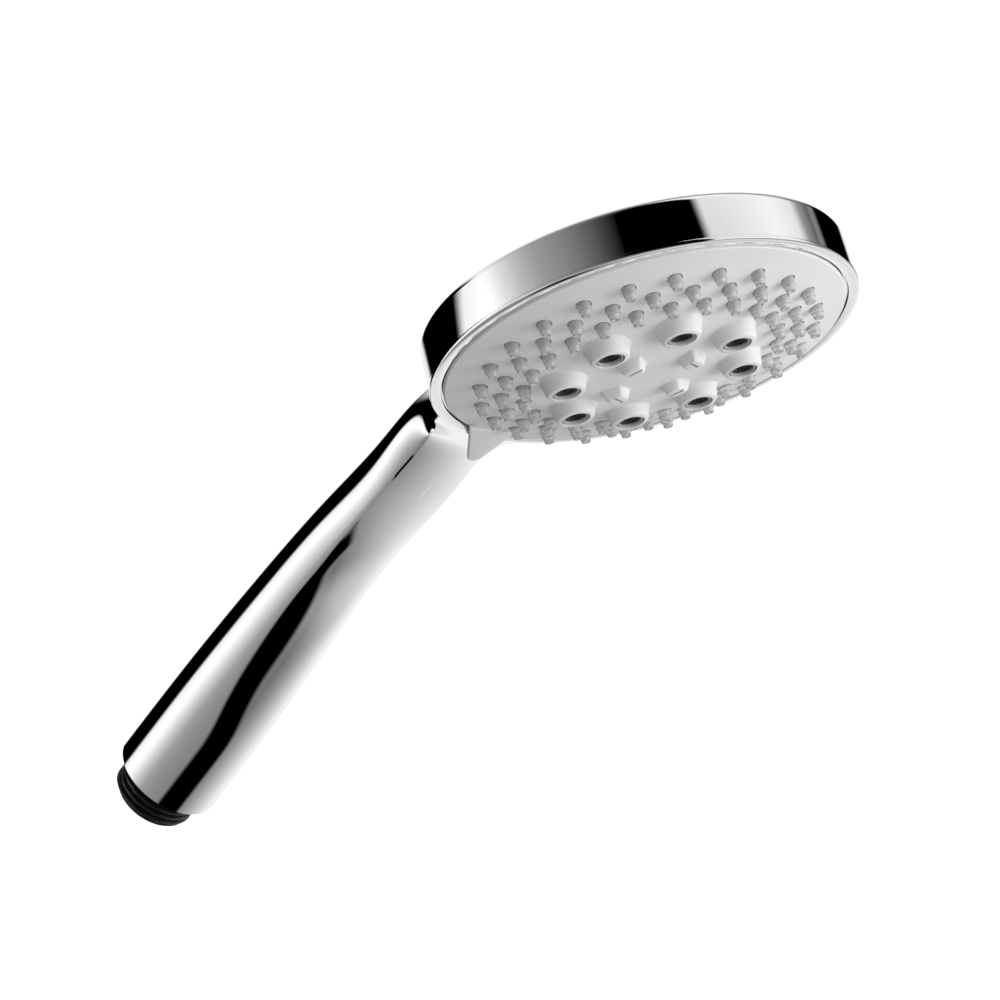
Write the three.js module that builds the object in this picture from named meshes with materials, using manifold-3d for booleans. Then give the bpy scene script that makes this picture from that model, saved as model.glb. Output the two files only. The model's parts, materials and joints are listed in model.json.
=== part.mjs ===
// Handheld shower head with a turning three-spray face, for three.js 0.186. Millimetres, +Z up.
// The origin is the middle of the hose connection's end face. The handle's lower part runs up +Z,
// the head is at the top, and the spray face looks towards -Y and tips down.
import * as THREE from "three";
import { mergeVertices } from "three/addons/utils/BufferGeometryUtils.js";
import Module from "manifold-3d";

const wasm = await Module();
wasm.setup();

// Clearances
const gap = 0.3; // between pieces that touch or seat
const runGap = 0.4; // between pieces that turn or slide past each other

// Head
const headRadius = 48; // the bezel's lip
const lipFlare = 0.3; // how far the lip stands out past the drum's side wall
const flangeRoom = 1.6; // for the fixed base's flange, between the bezel's skirt and the drum's back rim
const backRise = 8.1; // how far the domed back stands behind that rim
const rimRound = 1.6; // rounding of the drum's back rim
const shellWall = 2;
const faceTilt = 19.5; // degrees that the spray face tips down

// Bezel
const lipWidth = 2.6;
const lipHeight = 1.2; // the part of the bezel that shows on the drum's side
const seatHeight = 2.3; // the step that seats in the drum's rabbet
const seatWidth = 0.9;
const skirtWall = 1.3;
const skirtDepth = 8; // from the lip plane back to the skirt's end

// Handle
const threadLength = 9.5; // bare thread below the chrome
const gripLength = 88; // straight grip, from the chrome end up
const neckLength = 43.8; // from the grip's top to where the neck meets the head
const neckShift = 5.5; // how far the neck has come forward there
const gripRadius = 13.4; // at the chrome end
const waistRoom = 2.9; // clearance round the water tube at the grip's top
const neckWide = 13.4; // half the neck's width where it meets the head
const neckRoom = 1.5; // clearance in front of and behind the water tube there
const neckReach = 6.1; // from the lip's edge down to that place
const neckSetback = 0.5; // and how far its front is behind the lip plane

// Spray face
const faceRise = 6.9; // height of the domed face over the lip plane
const faceRim = 0.06; // height of its rim
const faceWall = 1.6;
const faceEdge = 0.6; // depth of the face's rim behind the lip plane
const nozzleRings = [37.55, 33.07, 28.5]; // radii of the three rings of spray nozzles
const nozzlesPerRing = 24;
const nozzleBase = 1.45;
const nozzleTip = 1.2;
const nozzleHeight = 3;
const nozzleBore = 0.55;
const matWall = 1;
const jetCircle = 20.43;
const jetCount = 8;
const jetTurn = 30; // degrees from +X to the first jet
const jetBossBase = 4.9;
const jetBossTip = 3.7;
const jetBossHeight = 3;
const jetRadius = 2.9;
const jetBore = 1.1;
const slotCircle = 9.6;
const slotCount = 4;
const slotTurn = 75; // degrees from +X to the first slot
const slotLength = 3.6;
const slotWidth = 0.9;
const slotBossHeight = 1.5;
const leverProud = 7; // how far the lever's tip stands out past the lip
const leverLong = 15.6; // how far its slanted edge starts to the side
const leverShort = 3.9; // and its steep edge
const leverLean = 2.6; // how far its tip is to the side
const leverTip = 1.8; // radius of its tip
const leverWall = 1.3;

// Rotor and fixed base
const rotorPlate = 2.9;
const rotorBack = -5.9; // the rotor's back face, from the lip plane
const chamberWall = 1.2;
const chamberRadii = [25, 14.6]; // walls between the rain, jet and slot chambers
const hubRadius = 5;
const selectorTurn = 30; // degrees between sprays
const portRadius = 2.2;
const portCircles = [10, 19.5, 31.5];
const basePlate = 3.4;
const ductAxis = 10.8; // the inlet duct's axis behind the lip plane
const ductRadius = 4.4;
const ductBore = 2.7;
const spigotProud = 6.5; // how far the spigot's end is past the lip's edge
const inletSealInset = 3; // from the spigot's end back to its O-ring
const outletHalf = 2.5; // half the outlet slot's width
const outletMargin = 3; // how far the slot runs past the first and last port circle
const portSealWall = 1.1;
const sealPocketDepth = 1.4;

// Fasteners inside the head
const screwShank = 1;
const screwHead = 2.4;
const screwHeadHeight = 1.3;
const screwLength = 6;
const postRadius = 2.6;
const centreShank = 2;
const centreHead = 4;

// Detent
const detentCircle = 26;
const detentRadius = 1.8;
const detentLength = 3.6;
const detentPocket = 6.2;

// Water tube
const tubeRadius = 6;
const tubeBore = 4.8;
const sealThick = 0.45; // radius of the small O-rings' cord

// Hose connection
const threadRadius = 10.48; // G 1/2
const threadRoot = 9.32;
const threadPitch = 1.814;
const plugLength = 14; // inside the handle
const plugSealCord = 0.8;
const plugSealDrop = 3.5; // from the plug's top down to its O-ring
const nippleBore = 6.6;
const nippleDepth = 20.5; // depth of the wide bore
const nippleSpigot = 11; // length of the spigot above the plug
const mouthDepth = 5.2; // clear bore in front of the flow limiter
const limiterHeight = 2;
const tubeSealDrop = 4; // from the spigot's top down to its O-ring
const valveHeight = 12.4;
const valveTravel = 2;

// How finely the rounds are drawn
const drumSteps = 48;
const ringSteps = 36;
const smallSteps = 10;

// Places worked out from the sizes
const rad = THREE.MathUtils.degToRad;
const tilt = rad(faceTilt);
const chromeEnd = threadLength;
const gripTop = chromeEnd + gripLength;
const neckTop = gripTop + neckLength;
const neckSpot = new THREE.Vector3(0, -neckShift, neckTop);
const headTurn = new THREE.Matrix4().makeRotationX(Math.PI / 2 + tilt);
const headDepth = skirtDepth + gap + flangeRoom + shellWall; // from the lip plane to the drum's back rim
const waistRadius = tubeRadius + waistRoom + shellWall;
const neckDeep = tubeRadius + neckRoom + shellWall; // half the neck's depth where it meets the head
const neckBehind = neckDeep + neckSetback; // how far its middle is behind the lip plane
const neckInHead = new THREE.Vector3(0, -(headRadius + neckReach), -neckBehind);
const headCentre = neckSpot.clone().sub(neckInHead.clone().applyMatrix4(headTurn));
const headMatrix = new THREE.Matrix4().setPosition(headCentre).multiply(headTurn);
const handleDirection = -90; // degrees, in the head's own frame, where +Z is the way it sprays

const bezelBore = headRadius - lipWidth;
const faceRadius = bezelBore - runGap;
const faceSphere = faceRadius ** 2 / (2 * (faceRise - faceRim)); // the face's radius of curvature
const leverReach = headRadius + leverProud; // from the face's axis down to the lever's tip
const spigotReach = headRadius + spigotProud; // and to the spigot's end
const wallRadius = headRadius - lipFlare; // the drum's side wall
const cavityRadius = wallRadius - shellWall;
const wallFront = -(lipHeight + gap);
const skirtRadius = cavityRadius - gap;
const skirtBore = skirtRadius - skirtWall;
const skirtBack = -skirtDepth;
const seatRadius = skirtRadius + seatWidth;
const rotorFront = rotorBack + rotorPlate;
const rotorRadius = skirtBore - runGap - 0.3;
const baseFront = rotorBack - gap;
const baseBack = baseFront - basePlate;
const flangeFront = skirtBack - gap;
const bossSeal = ductRadius - 2 * sealThick - 0.1;
const sealHalf = sealThick + 0.25; // half the width of a small O-ring's groove
const outletFrom = portCircles[0] - outletMargin;
const outletTo = portCircles[2] + outletMargin;
const bandTurn = 90 / nozzlesPerRing; // facets of the face meet a quarter of a pitch from a nozzle

const plugTop = chromeEnd + plugLength;
const spigotTop = plugTop + nippleSpigot;
const tubeFoot = plugTop + 1;
const plugRadius = gripRadius - shellWall - gap;
const plugSealHeight = plugTop - plugSealDrop;
const tubeSealHeight = spigotTop - tubeSealDrop;
const valveLow = mouthDepth + limiterHeight + gap;
const valveHigh = valveLow + valveHeight;
const valveSeat = valveLow + 2;

// The height of the domed face over the lip plane at a distance from its axis.
function faceAt(r) {
  return faceRise - r * r / (2 * faceSphere);
}

// Solids and meshes

// A closed three.js geometry as a solid that can be cut and joined.
function solid(geometry) {
  const bare = geometry.clone();
  bare.deleteAttribute("normal");
  bare.deleteAttribute("uv");
  const merged = mergeVertices(bare, 1e-4);
  const index = merged.index.array;
  const kept = [];
  for (let i = 0; i < index.length; i += 3) {
    const [a, b, c] = [index[i], index[i + 1], index[i + 2]];
    if (a !== b && b !== c && c !== a) kept.push(a, b, c);
  }
  const made = new wasm.Manifold(new wasm.Mesh({
    numProp: 3,
    vertProperties: merged.attributes.position.array,
    triVerts: new Uint32Array(kept),
  }));
  return made;
}

// A solid turned back into a named mesh with its own material.
function meshOf(name, shape, look) {
  const data = shape.getMesh();
  const geometry = new THREE.BufferGeometry();
  const points = new Float32Array(data.numVert * 3);
  for (let i = 0; i < data.numVert; i++) {
    points.set(data.vertProperties.subarray(i * data.numProp, i * data.numProp + 3), i * 3);
  }
  geometry.setAttribute("position", new THREE.BufferAttribute(points, 3));
  geometry.setIndex(new THREE.BufferAttribute(data.triVerts, 1));
  geometry.computeVertexNormals();
  const mesh = new THREE.Mesh(geometry, new THREE.MeshStandardMaterial(look));
  mesh.name = name;
  return mesh;
}

// A closed profile of [radius, height] points turned about Z. It may touch the axis.
function turned(profile, steps) {
  const area = profile.reduce((sum, [r, z], i) => {
    const [r2, z2] = profile[(i + 1) % profile.length];
    return sum + r * z2 - r2 * z;
  }, 0);
  const ordered = area > 0 ? profile : [...profile].reverse();
  const onAxis = ordered.some(([r]) => r === 0);
  const points = ordered.map(([r, z]) => new THREE.Vector2(r, z));
  if (onAxis) {
    while (!(points[0].x === 0 && points[points.length - 1].x === 0)) points.push(points.shift());
  } else {
    points.push(points[0].clone());
  }
  const geometry = new THREE.LatheGeometry(points, steps);
  geometry.rotateX(Math.PI / 2);
  return solid(geometry);
}

// A round bar along Z between two heights, tapered if the second radius differs.
function bar(low, high, radius, steps = smallSteps, highRadius = radius) {
  const geometry = new THREE.CylinderGeometry(highRadius, radius, high - low, steps);
  geometry.rotateX(Math.PI / 2);
  geometry.translate(0, 0, (low + high) / 2);
  return solid(geometry);
}

// The same bar along Y.
function barAlongY(low, high, radius, steps = smallSteps) {
  const geometry = new THREE.CylinderGeometry(radius, radius, high - low, steps);
  geometry.translate(0, (low + high) / 2, 0);
  return solid(geometry);
}

function block(x, y, z) {
  const geometry = new THREE.BoxGeometry(x[1] - x[0], y[1] - y[0], z[1] - z[0]);
  geometry.translate((x[0] + x[1]) / 2, (y[0] + y[1]) / 2, (z[0] + z[1]) / 2);
  return solid(geometry);
}

// A flat outline pulled up along Z.
function plate(shape, low, high, curveSegments = 6) {
  const settings = { depth: high - low, bevelEnabled: false, curveSegments };
  const geometry = new THREE.ExtrudeGeometry(shape, settings);
  geometry.translate(0, 0, low);
  return solid(geometry);
}

function moved(shape, x, y, z) {
  return shape.translate([x, y, z]);
}

// A copy turned about Z by degrees.
function spun(shape, degrees) {
  return shape.rotate([0, 0, degrees]);
}

// Copies of one solid placed round the axis, joined into one tool for cutting or adding.
function ringOf(shape, radius, count, startDegrees) {
  const copies = [];
  for (let i = 0; i < count; i++) {
    const degrees = startDegrees + i * 360 / count;
    copies.push(spun(moved(shape, radius, 0, 0), degrees));
  }
  return wasm.Manifold.union(copies);
}

function toHead(shape) {
  return shape.transform(headMatrix.elements);
}

// A torus lying round Z.
function oRing(radius, cord, height, steps = 16, sides = 5) {
  const geometry = new THREE.TorusGeometry(radius, cord, sides, steps);
  return moved(solid(geometry), 0, 0, height);
}

// A compression spring standing on Z, with closed ends drawn as a shallower first and last turn.
class SpringCurve extends THREE.Curve {
  constructor(radius, low, high, turns) {
    super();
    Object.assign(this, { radius, low, high, turns });
  }

  getPoint(t, target = new THREE.Vector3()) {
    const angle = t * this.turns * 2 * Math.PI;
    const rise = t - 0.5 * Math.sin(2 * Math.PI * t) / (2 * Math.PI);
    const height = this.low + (this.high - this.low) * rise;
    return target.set(this.radius * Math.cos(angle), this.radius * Math.sin(angle), height);
  }
}

function spring(radius, wire, low, high, turns, stepsPerTurn = 10) {
  const curve = new SpringCurve(radius, low + wire, high - wire, turns);
  const section = new THREE.Shape();
  section.absarc(0, 0, wire, 0, 2 * Math.PI);
  const settings = { steps: Math.round(turns * stepsPerTurn), extrudePath: curve, curveSegments: 3 };
  return solid(new THREE.ExtrudeGeometry(section, settings));
}

// Materials

const chrome = { color: 0xdcdee0, metalness: 1, roughness: 0.06 };
const whitePlastic = { color: 0xd9dadb, metalness: 0, roughness: 0.45 };
const silicone = { color: 0xe4e6e8, metalness: 0, roughness: 0.35, transparent: true, opacity: 0.8 };
const darkInsert = { color: 0x2b2d30, metalness: 0.1, roughness: 0.35 };
const greyPlastic = { color: 0x8d9196, metalness: 0, roughness: 0.5 };
const blackPlastic = { color: 0x101112, metalness: 0, roughness: 0.35 };
const naturalPlastic = { color: 0xe8e6df, metalness: 0, roughness: 0.5 };
const steel = { color: 0xb9bcc0, metalness: 1, roughness: 0.3 };
const rubber = { color: 0x18191a, metalness: 0, roughness: 0.8 };

// Handle and shell

// Sections of the handle from the hose end into the head: centre, half width and half depth.
// The last ones follow the head's own back and sink into its dome.
function handleStations() {
  const inHead = (reach, behind, wide, deep, crease) => {
    const spot = new THREE.Vector3(0, -reach, -behind).applyMatrix4(headMatrix);
    return { spot, wide, deep, crease };
  };
  const onGrip = (share, radius, forward, crease) => {
    const spot = new THREE.Vector3(0, -forward, chromeEnd + gripLength * share);
    return { spot, wide: radius, deep: radius, crease };
  };
  const swell = (share) => THREE.MathUtils.lerp(gripRadius, waistRadius, share);
  const back = headDepth + backRise;
  const neck = { spot: neckSpot, wide: neckWide, deep: neckDeep, crease: 1 };
  const throatSpot = new THREE.Vector3(0, -neckShift * 0.58, gripTop + neckLength * 0.52);
  const throat = { spot: throatSpot, wide: waistRadius + 0.3, deep: waistRadius - 0.8, crease: 1 };
  return [
    onGrip(0, gripRadius, 0, 0),
    onGrip(0.34, swell(0.14), 0, 0),
    onGrip(0.7, swell(0.56), -0.1, 0.15),
    onGrip(1, waistRadius, neckShift * 0.2, 0.75),
    throat,
    neck,
    inHead(headRadius - 5, back * 0.5, neckWide + 7, neckDeep + 0.1, 1),
    inHead(headRadius - 19, back * 0.54, neckWide + 7.5, back * 0.44, 1),
    inHead(headRadius - 33, back * 0.57, neckWide + 3, back * 0.41, 0.5),
    inHead(headRadius - 45, back * 0.58, neckWide - 3, back * 0.36, 0),
  ];
}

// One point of a section: an ellipse whose front is pulled flatter between two creases.
function sectionPoint(angle, wide, deep, crease) {
  const corner = creaseAngle(crease);
  const round = deep * Math.sin(angle);
  if (Math.sin(angle) > -Math.sin(corner)) return [wide * Math.cos(angle), round];
  const across = Math.cos(angle) / Math.cos(corner);
  const flat = -deep * (Math.sin(corner) + (1 - Math.sin(corner)) * (1 - across * across));
  return [wide * Math.cos(angle), THREE.MathUtils.lerp(round, flat, crease)];
}

// The crease runs from low on the grip's sides up to the neck's widest place.
function creaseAngle(crease) {
  return rad(THREE.MathUtils.lerp(36, 14, crease));
}

// Angles round a section that land on both creases.
function sectionAngles(crease, sides) {
  const corner = creaseAngle(crease);
  const frontSides = Math.round(sides * 0.42);
  const backSides = sides - frontSides;
  const angles = [];
  for (let k = 0; k < backSides; k++) angles.push(-corner + (Math.PI + 2 * corner) * k / backSides);
  for (let k = 0; k < frontSides; k++) {
    angles.push(Math.PI + corner + (Math.PI - 2 * corner) * k / frontSides);
  }
  return angles;
}

// The handle's solid through those sections, thinner all round by inset.
function handleLoft(inset, from, to, slices, sides) {
  const stations = handleStations();
  const centres = new THREE.CatmullRomCurve3(stations.map((s) => s.spot));
  const sizes = stations.map((s) => new THREE.Vector3(s.wide, s.deep, 10 * s.crease));
  const shapes = new THREE.CatmullRomCurve3(sizes);
  const rings = [];
  for (let i = 0; i <= slices; i++) {
    const t = THREE.MathUtils.lerp(from, to, i / slices);
    rings.push({
      centre: centres.getPoint(t),
      along: centres.getTangent(t),
      half: shapes.getPoint(t).sub(new THREE.Vector3(inset, inset, 0)),
    });
  }
  return skin(rings, sides);
}

// A closed skin over elliptical rings, with a fan at each end.
function skin(rings, sides) {
  const points = [];
  const faces = [];
  for (const { centre, along, half } of rings) {
    const deepWay = along.clone().cross(new THREE.Vector3(1, 0, 0)).normalize();
    const crease = THREE.MathUtils.clamp(half.z / 10, 0, 1);
    for (const angle of sectionAngles(crease, sides)) {
      const [across, back] = sectionPoint(angle, half.x, half.y, crease);
      const spot = centre.clone().addScaledVector(deepWay, back);
      spot.x += across;
      points.push(spot);
    }
  }
  for (let i = 0; i + 1 < rings.length; i++) {
    for (let k = 0; k < sides; k++) {
      const next = (k + 1) % sides;
      const [a, b] = [i * sides + k, i * sides + next];
      const [c, d] = [a + sides, b + sides];
      faces.push(a, b, d, a, d, c);
    }
  }
  const last = (rings.length - 1) * sides;
  const low = points.push(rings[0].centre.clone()) - 1;
  const high = points.push(rings[rings.length - 1].centre.clone()) - 1;
  for (let k = 0; k < sides; k++) {
    const next = (k + 1) % sides;
    faces.push(low, next, k, high, last + k, last + next);
  }
  const geometry = new THREE.BufferGeometry().setFromPoints(points);
  geometry.setIndex(faces);
  return solid(geometry);
}

// The drum's profile: a domed back, a rounded rim and a straight wall, closed across its front.
function drumProfile(inset, front) {
  const radius = wallRadius - inset;
  const rim = headDepth - inset;
  const round = Math.max(rimRound - inset, 0.3);
  const edge = radius - round;
  const dome = [];
  for (let i = 0; i <= 5; i++) {
    const r = edge * i / 5;
    dome.push([r, -(rim + backRise * (1 - (r / edge) ** 2))]);
  }
  const corner = [];
  for (let i = 1; i <= 3; i++) {
    const angle = i / 3 * Math.PI / 2;
    corner.push([edge + round * Math.sin(angle), -(rim - round + round * Math.cos(angle))]);
  }
  return [...dome, ...corner, [radius, front], [0, front]];
}

function bodyShell() {
  const drum = toHead(turned(drumProfile(0, wallFront), drumSteps));
  const handle = handleLoft(0, 0, 1, 24, 24);
  const hollow = toHead(turned(drumProfile(shellWall, 10), drumSteps));
  const handleHollow = handleLoft(shellWall, 0.002, 0.86, 16, 18);
  const mouth = bar(chromeEnd - 2, plugTop + gap, plugRadius + gap, 24);
  const facePocket = toHead(bar(wallFront, 20, headRadius + gap, drumSteps));
  const rabbet = toHead(bar(-(seatHeight + gap), 20, seatRadius + gap, drumSteps));
  return drum
    .add(handle)
    .subtract(facePocket)
    .subtract(rabbet)
    .subtract(hollow)
    .subtract(handleHollow)
    .subtract(mouth);
}

// Bezel

function faceBezel() {
  const web = -(faceEdge + runGap);
  const ring = turned([
    [bezelBore, -0.25],
    [bezelBore + 0.3, 0],
    [headRadius - 0.55, 0],
    [headRadius, -0.5],
    [wallRadius, -lipHeight],
    [seatRadius, -lipHeight],
    [seatRadius, -seatHeight],
    [skirtRadius, -seatHeight],
    [skirtRadius, skirtBack],
    [skirtBore, skirtBack],
    [skirtBore, web],
    [bezelBore, web],
  ], drumSteps);
  const room = tubeRadius + 2 * gap;
  const notch = block([-room, room], [-headRadius, -skirtBore + 8], [skirtBack - 1, -seatHeight - 1]);
  return ring.subtract(notch);
}

// Spray face

// Half pitch on the first and third rings, so that the rings are staggered.
function ringStart(ring) {
  return handleDirection + (ring % 2 === 0 ? 180 / nozzlesPerRing : 0);
}

// Radii that pass between the rings, so that a facet's edge doesn't run through a hole.
function ringBands() {
  const last = nozzleRings.length - 1;
  return [(nozzleRings[0] + nozzleRings[1]) / 2, nozzleRings[last] - nozzleBase - 3 * gap];
}

function faceBlank() {
  const edge = faceRadius - 0.6;
  const inner = faceRadius - 1.4;
  const [outer, second] = ringBands();
  const middle = [second, second / 2, 0];
  const front = [edge, outer, ...middle].reverse().map((r) => [r, faceAt(r)]);
  const back = [inner, outer, ...middle].map((r) => [r, faceAt(r) - faceWall]);
  const rim = [[faceRadius, -0.3], [faceRadius, -faceEdge], [inner, -faceEdge]];
  return spun(turned([...front, ...rim, ...back], drumSteps), bandTurn);
}

function leverOutline() {
  const shape = new THREE.Shape();
  const tipY = -(leverReach - leverTip);
  const longY = -Math.sqrt(faceRadius ** 2 - leverLong ** 2) + 1;
  const shortY = -faceRadius + 5;
  const longSlope = Math.atan2(leverLong - leverLean, longY - tipY);
  const shortSlope = Math.atan2(leverLean - leverShort, shortY - tipY);
  shape.moveTo(-leverShort + leverTip, shortY);
  shape.lineTo(-leverLong, longY);
  shape.absarc(-leverLean, tipY, leverTip, Math.PI + longSlope, 2 * Math.PI + shortSlope, false);
  shape.closePath();
  return shape;
}

// A rounded wedge that carries one slit, narrower towards the face's axis.
function slotBoss() {
  const shape = new THREE.Shape();
  shape.moveTo(-2.6, -2.4);
  shape.lineTo(2.2, -3.4);
  shape.quadraticCurveTo(3.4, 0, 2.2, 3.4);
  shape.lineTo(-2.6, 2.4);
  shape.quadraticCurveTo(-3.4, 0, -2.6, -2.4);
  const low = faceAt(slotCircle) - faceWall / 2;
  return plate(shape, low, faceAt(slotCircle) + slotBossHeight, 3);
}

function sprayFace() {
  const jetLow = faceAt(jetCircle) - faceWall / 2;
  const jetTop = faceAt(jetCircle) + jetBossHeight;
  const jetBoss = bar(jetLow, jetTop, jetBossBase, 16, jetBossTip);
  const jetHole = bar(-5, jetTop + 1, jetRadius + gap, smallSteps);
  const slit = block([-slotWidth / 2, slotWidth / 2], [-slotLength / 2, slotLength / 2], [-5, 20]);
  const post = bar(rotorFront + gap, faceAt(jetCircle) - faceWall / 2, postRadius, smallSteps);
  const postHole = bar(rotorFront, faceAt(jetCircle) - faceWall - 0.5, screwShank + gap, 8);
  const lever = plate(leverOutline(), runGap, runGap + leverWall, 5);
  const nozzleHoles = nozzleRings.map((radius, ring) => {
    const hole = bar(-6, 12, nozzleBase + gap, 6);
    return ringOf(hole, radius, nozzlesPerRing, ringStart(ring));
  });
  return faceBlank()
    .add(lever)
    .add(ringOf(jetBoss, jetCircle, jetCount, jetTurn))
    .add(ringOf(slotBoss(), slotCircle, slotCount, slotTurn))
    .add(ringOf(post, jetCircle, 4, jetTurn + 180 / jetCount))
    .subtract(ringOf(postHole, jetCircle, 4, jetTurn + 180 / jetCount))
    .subtract(ringOf(jetHole, jetCircle, jetCount, jetTurn))
    .subtract(ringOf(slit, slotCircle, slotCount, slotTurn))
    .subtract(wasm.Manifold.union(nozzleHoles));
}

// One silicone membrane behind the face, with all its nozzles standing through the holes.
function nozzleMat() {
  const inner = chamberRadii[0] + chamberWall / 2 + gap;
  const outer = rotorRadius - chamberWall - gap;
  const under = (r) => faceAt(r) - faceWall - gap;
  const radii = [inner, (nozzleRings[1] + nozzleRings[2]) / 2, ringBands()[0], outer];
  const front = radii.map((r) => [r, under(r)]);
  const back = [...radii].reverse().map((r) => [r, under(r) - matWall]);
  const sheet = spun(turned([...front, ...back], nozzlesPerRing), bandTurn);
  const nozzles = nozzleRings.map((radius, ring) => {
    const low = under(radius) - matWall / 2;
    const high = faceAt(radius) + nozzleHeight;
    return ringOf(bar(low, high, nozzleBase, 6, nozzleTip), radius, nozzlesPerRing, ringStart(ring));
  });
  const bores = nozzleRings.map((radius, ring) => {
    return ringOf(bar(-8, 14, nozzleBore, 4), radius, nozzlesPerRing, ringStart(ring));
  });
  return wasm.Manifold.union([sheet, ...nozzles]).subtract(wasm.Manifold.union(bores));
}

// A dark jet insert: a flange behind the face and a tube up through the boss.
function jetInsert() {
  const flangeFront = faceAt(jetCircle) - faceWall - 2 * gap;
  const top = faceAt(jetCircle) + jetBossHeight - 0.2;
  return turned([
    [jetBore, top - 0.7],
    [jetRadius - 0.7, top - 0.5],
    [jetRadius - 0.5, top],
    [jetRadius, top],
    [jetRadius, flangeFront],
    [jetRadius + 0.7, flangeFront],
    [jetRadius + 0.7, flangeFront - 1],
    [jetBore, flangeFront - 1],
  ], smallSteps);
}

// Rotor and base

// The port that feeds one chamber, on the rotor's own plate.
function rotorPorts() {
  const ports = portCircles.map((radius, i) => {
    const hole = bar(rotorBack - 1, rotorFront + 1, portRadius, smallSteps);
    return spun(moved(hole, radius, 0, 0), handleDirection + (i - 1) * selectorTurn);
  });
  return wasm.Manifold.union(ports);
}

function rotor() {
  const under = (r) => faceAt(r) - faceWall - gap;
  const wallPoints = chamberRadii.flatMap((middle) => {
    const [out, into] = [middle + chamberWall / 2, middle - chamberWall / 2];
    return [[out, rotorFront], [out, under(out)], [into, under(out)], [into, rotorFront]];
  });
  const outerWall = rotorRadius - chamberWall;
  const body = turned([
    [rotorRadius, rotorBack],
    [rotorRadius, under(rotorRadius)],
    [outerWall, under(rotorRadius)],
    [outerWall, rotorFront],
    ...wallPoints,
    [hubRadius, rotorFront],
    [hubRadius, under(hubRadius)],
    [0, under(hubRadius)],
    [0, rotorBack],
  ], ringSteps);
  const screwHole = bar(rotorBack - 1, rotorFront + 1, screwShank + gap, 8);
  const headFloor = rotorBack + screwHeadHeight + 2 * gap;
  const headHole = bar(rotorBack - 1, headFloor, screwHead + gap, smallSteps);
  const screwHoles = ringOf(screwHole.add(headHole), jetCircle, 4, jetTurn + 180 / jetCount);
  const centreHole = bar(rotorBack - 1, under(hubRadius) - 1, centreShank + gap, smallSteps);
  const track = detentTrack();
  return body.subtract(screwHoles).subtract(rotorPorts()).subtract(centreHole).subtract(track);
}

// An arc groove for the detent plunger, with a deeper dimple at each spray.
function detentTrack() {
  const half = detentRadius + runGap;
  const groove = turned([
    [detentCircle - half, rotorBack - 1],
    [detentCircle + half, rotorBack - 1],
    [detentCircle + half, rotorBack + 0.8],
    [detentCircle - half, rotorBack + 0.8],
  ], ringSteps);
  const dimples = [-1, 0, 1].map((i) => {
    const dimple = bar(rotorBack - 1, rotorBack + 1.4, 1.2, 8);
    return spun(moved(dimple, detentCircle, 0, 0), 90 + i * selectorTurn);
  });
  return wasm.Manifold.union([groove, ...dimples]);
}

function crossRecess(width, low, high) {
  const one = block([-width, width], [-width / 4, width / 4], [low, high]);
  return one.add(spun(one, 90));
}

// A small screw that holds the face to the rotor, with its head at the rotor's back.
function rotorScrew() {
  const headBack = rotorBack + gap;
  const headFront = headBack + screwHeadHeight;
  const body = turned([
    [0, headBack],
    [screwHead - 0.3, headBack],
    [screwHead, headBack + 0.3],
    [screwHead, headFront],
    [screwShank, headFront],
    [screwShank, headFront + screwLength - 0.8],
    [0.3, headFront + screwLength],
    [0, headFront + screwLength],
  ], 10);
  return body.subtract(crossRecess(1.1, headBack - 1, headBack + 0.8));
}

// The shoulder screw that the rotor turns with, put in from the base's back.
function centreScrew() {
  const headBack = baseBack - gap - 2.6;
  const headFront = headBack + 1.6;
  const top = faceAt(hubRadius) - faceWall - gap - 2;
  const body = turned([
    [0, headBack],
    [centreHead - 0.4, headBack],
    [centreHead, headBack + 0.4],
    [centreHead, headFront],
    [centreShank, headFront],
    [centreShank, top - 0.8],
    [0.8, top],
    [0, top],
  ], smallSteps);
  return body.subtract(crossRecess(1.8, headBack - 1, headBack + 1));
}

function screwWasher() {
  const low = baseBack - 2 * gap - 0.7;
  return turned([
    [centreShank + gap, low],
    [centreHead + 0.6, low],
    [centreHead + 0.6, low + 0.7],
    [centreShank + gap, low + 0.7],
  ], 16);
}

// The stadium-shaped groove and seal over the base's outlet slot.
function stadium(halfWidth, from, to) {
  const shape = new THREE.Shape();
  shape.absarc(0, -from - halfWidth, halfWidth, 0, Math.PI, false);
  shape.absarc(0, -to + halfWidth, halfWidth, Math.PI, 2 * Math.PI, false);
  shape.closePath();
  return shape;
}

function portSeal() {
  const shape = stadium(outletHalf + portSealWall, outletFrom - portSealWall, outletTo + portSealWall);
  const inside = stadium(outletHalf, outletFrom, outletTo);
  const low = baseFront - sealPocketDepth + gap;
  const ring = plate(shape, low, rotorBack - 0.1, 4);
  return ring.subtract(plate(inside, low - 1, rotorBack + 1, 4));
}

function engineBase() {
  const body = turned([
    [0, baseFront],
    [skirtBore - runGap, baseFront],
    [skirtBore - runGap, flangeFront],
    [skirtRadius - gap, flangeFront],
    [skirtRadius - gap, baseBack],
    [0, baseBack],
  ], ringSteps);
  const centreHole = bar(baseBack - 3, baseFront + 1, centreShank + runGap, smallSteps);
  const headRoom = bar(-30, baseBack - 0.01, centreHead + 0.6 + gap, 16);
  return body
    .add(inletDuct())
    .add(detentBar(baseFront - detentPocket - 1.2, baseFront - 0.5, 1.6))
    .subtract(headRoom)
    .subtract(tubeRoom())
    .subtract(inletBore())
    .subtract(detentBar(baseFront - detentPocket, baseFront + 1, gap))
    .subtract(centreHole)
    .subtract(inletSealGroove());
}

// A bar on the inlet duct's axis, from one reach to another.
function alongDuct(near, far, radius, steps = 16) {
  return moved(barAlongY(-far, -near, radius, steps), 0, 0, -ductAxis);
}

function inletDuct() {
  return alongDuct(outletFrom - 3, spigotReach, ductRadius);
}

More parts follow.
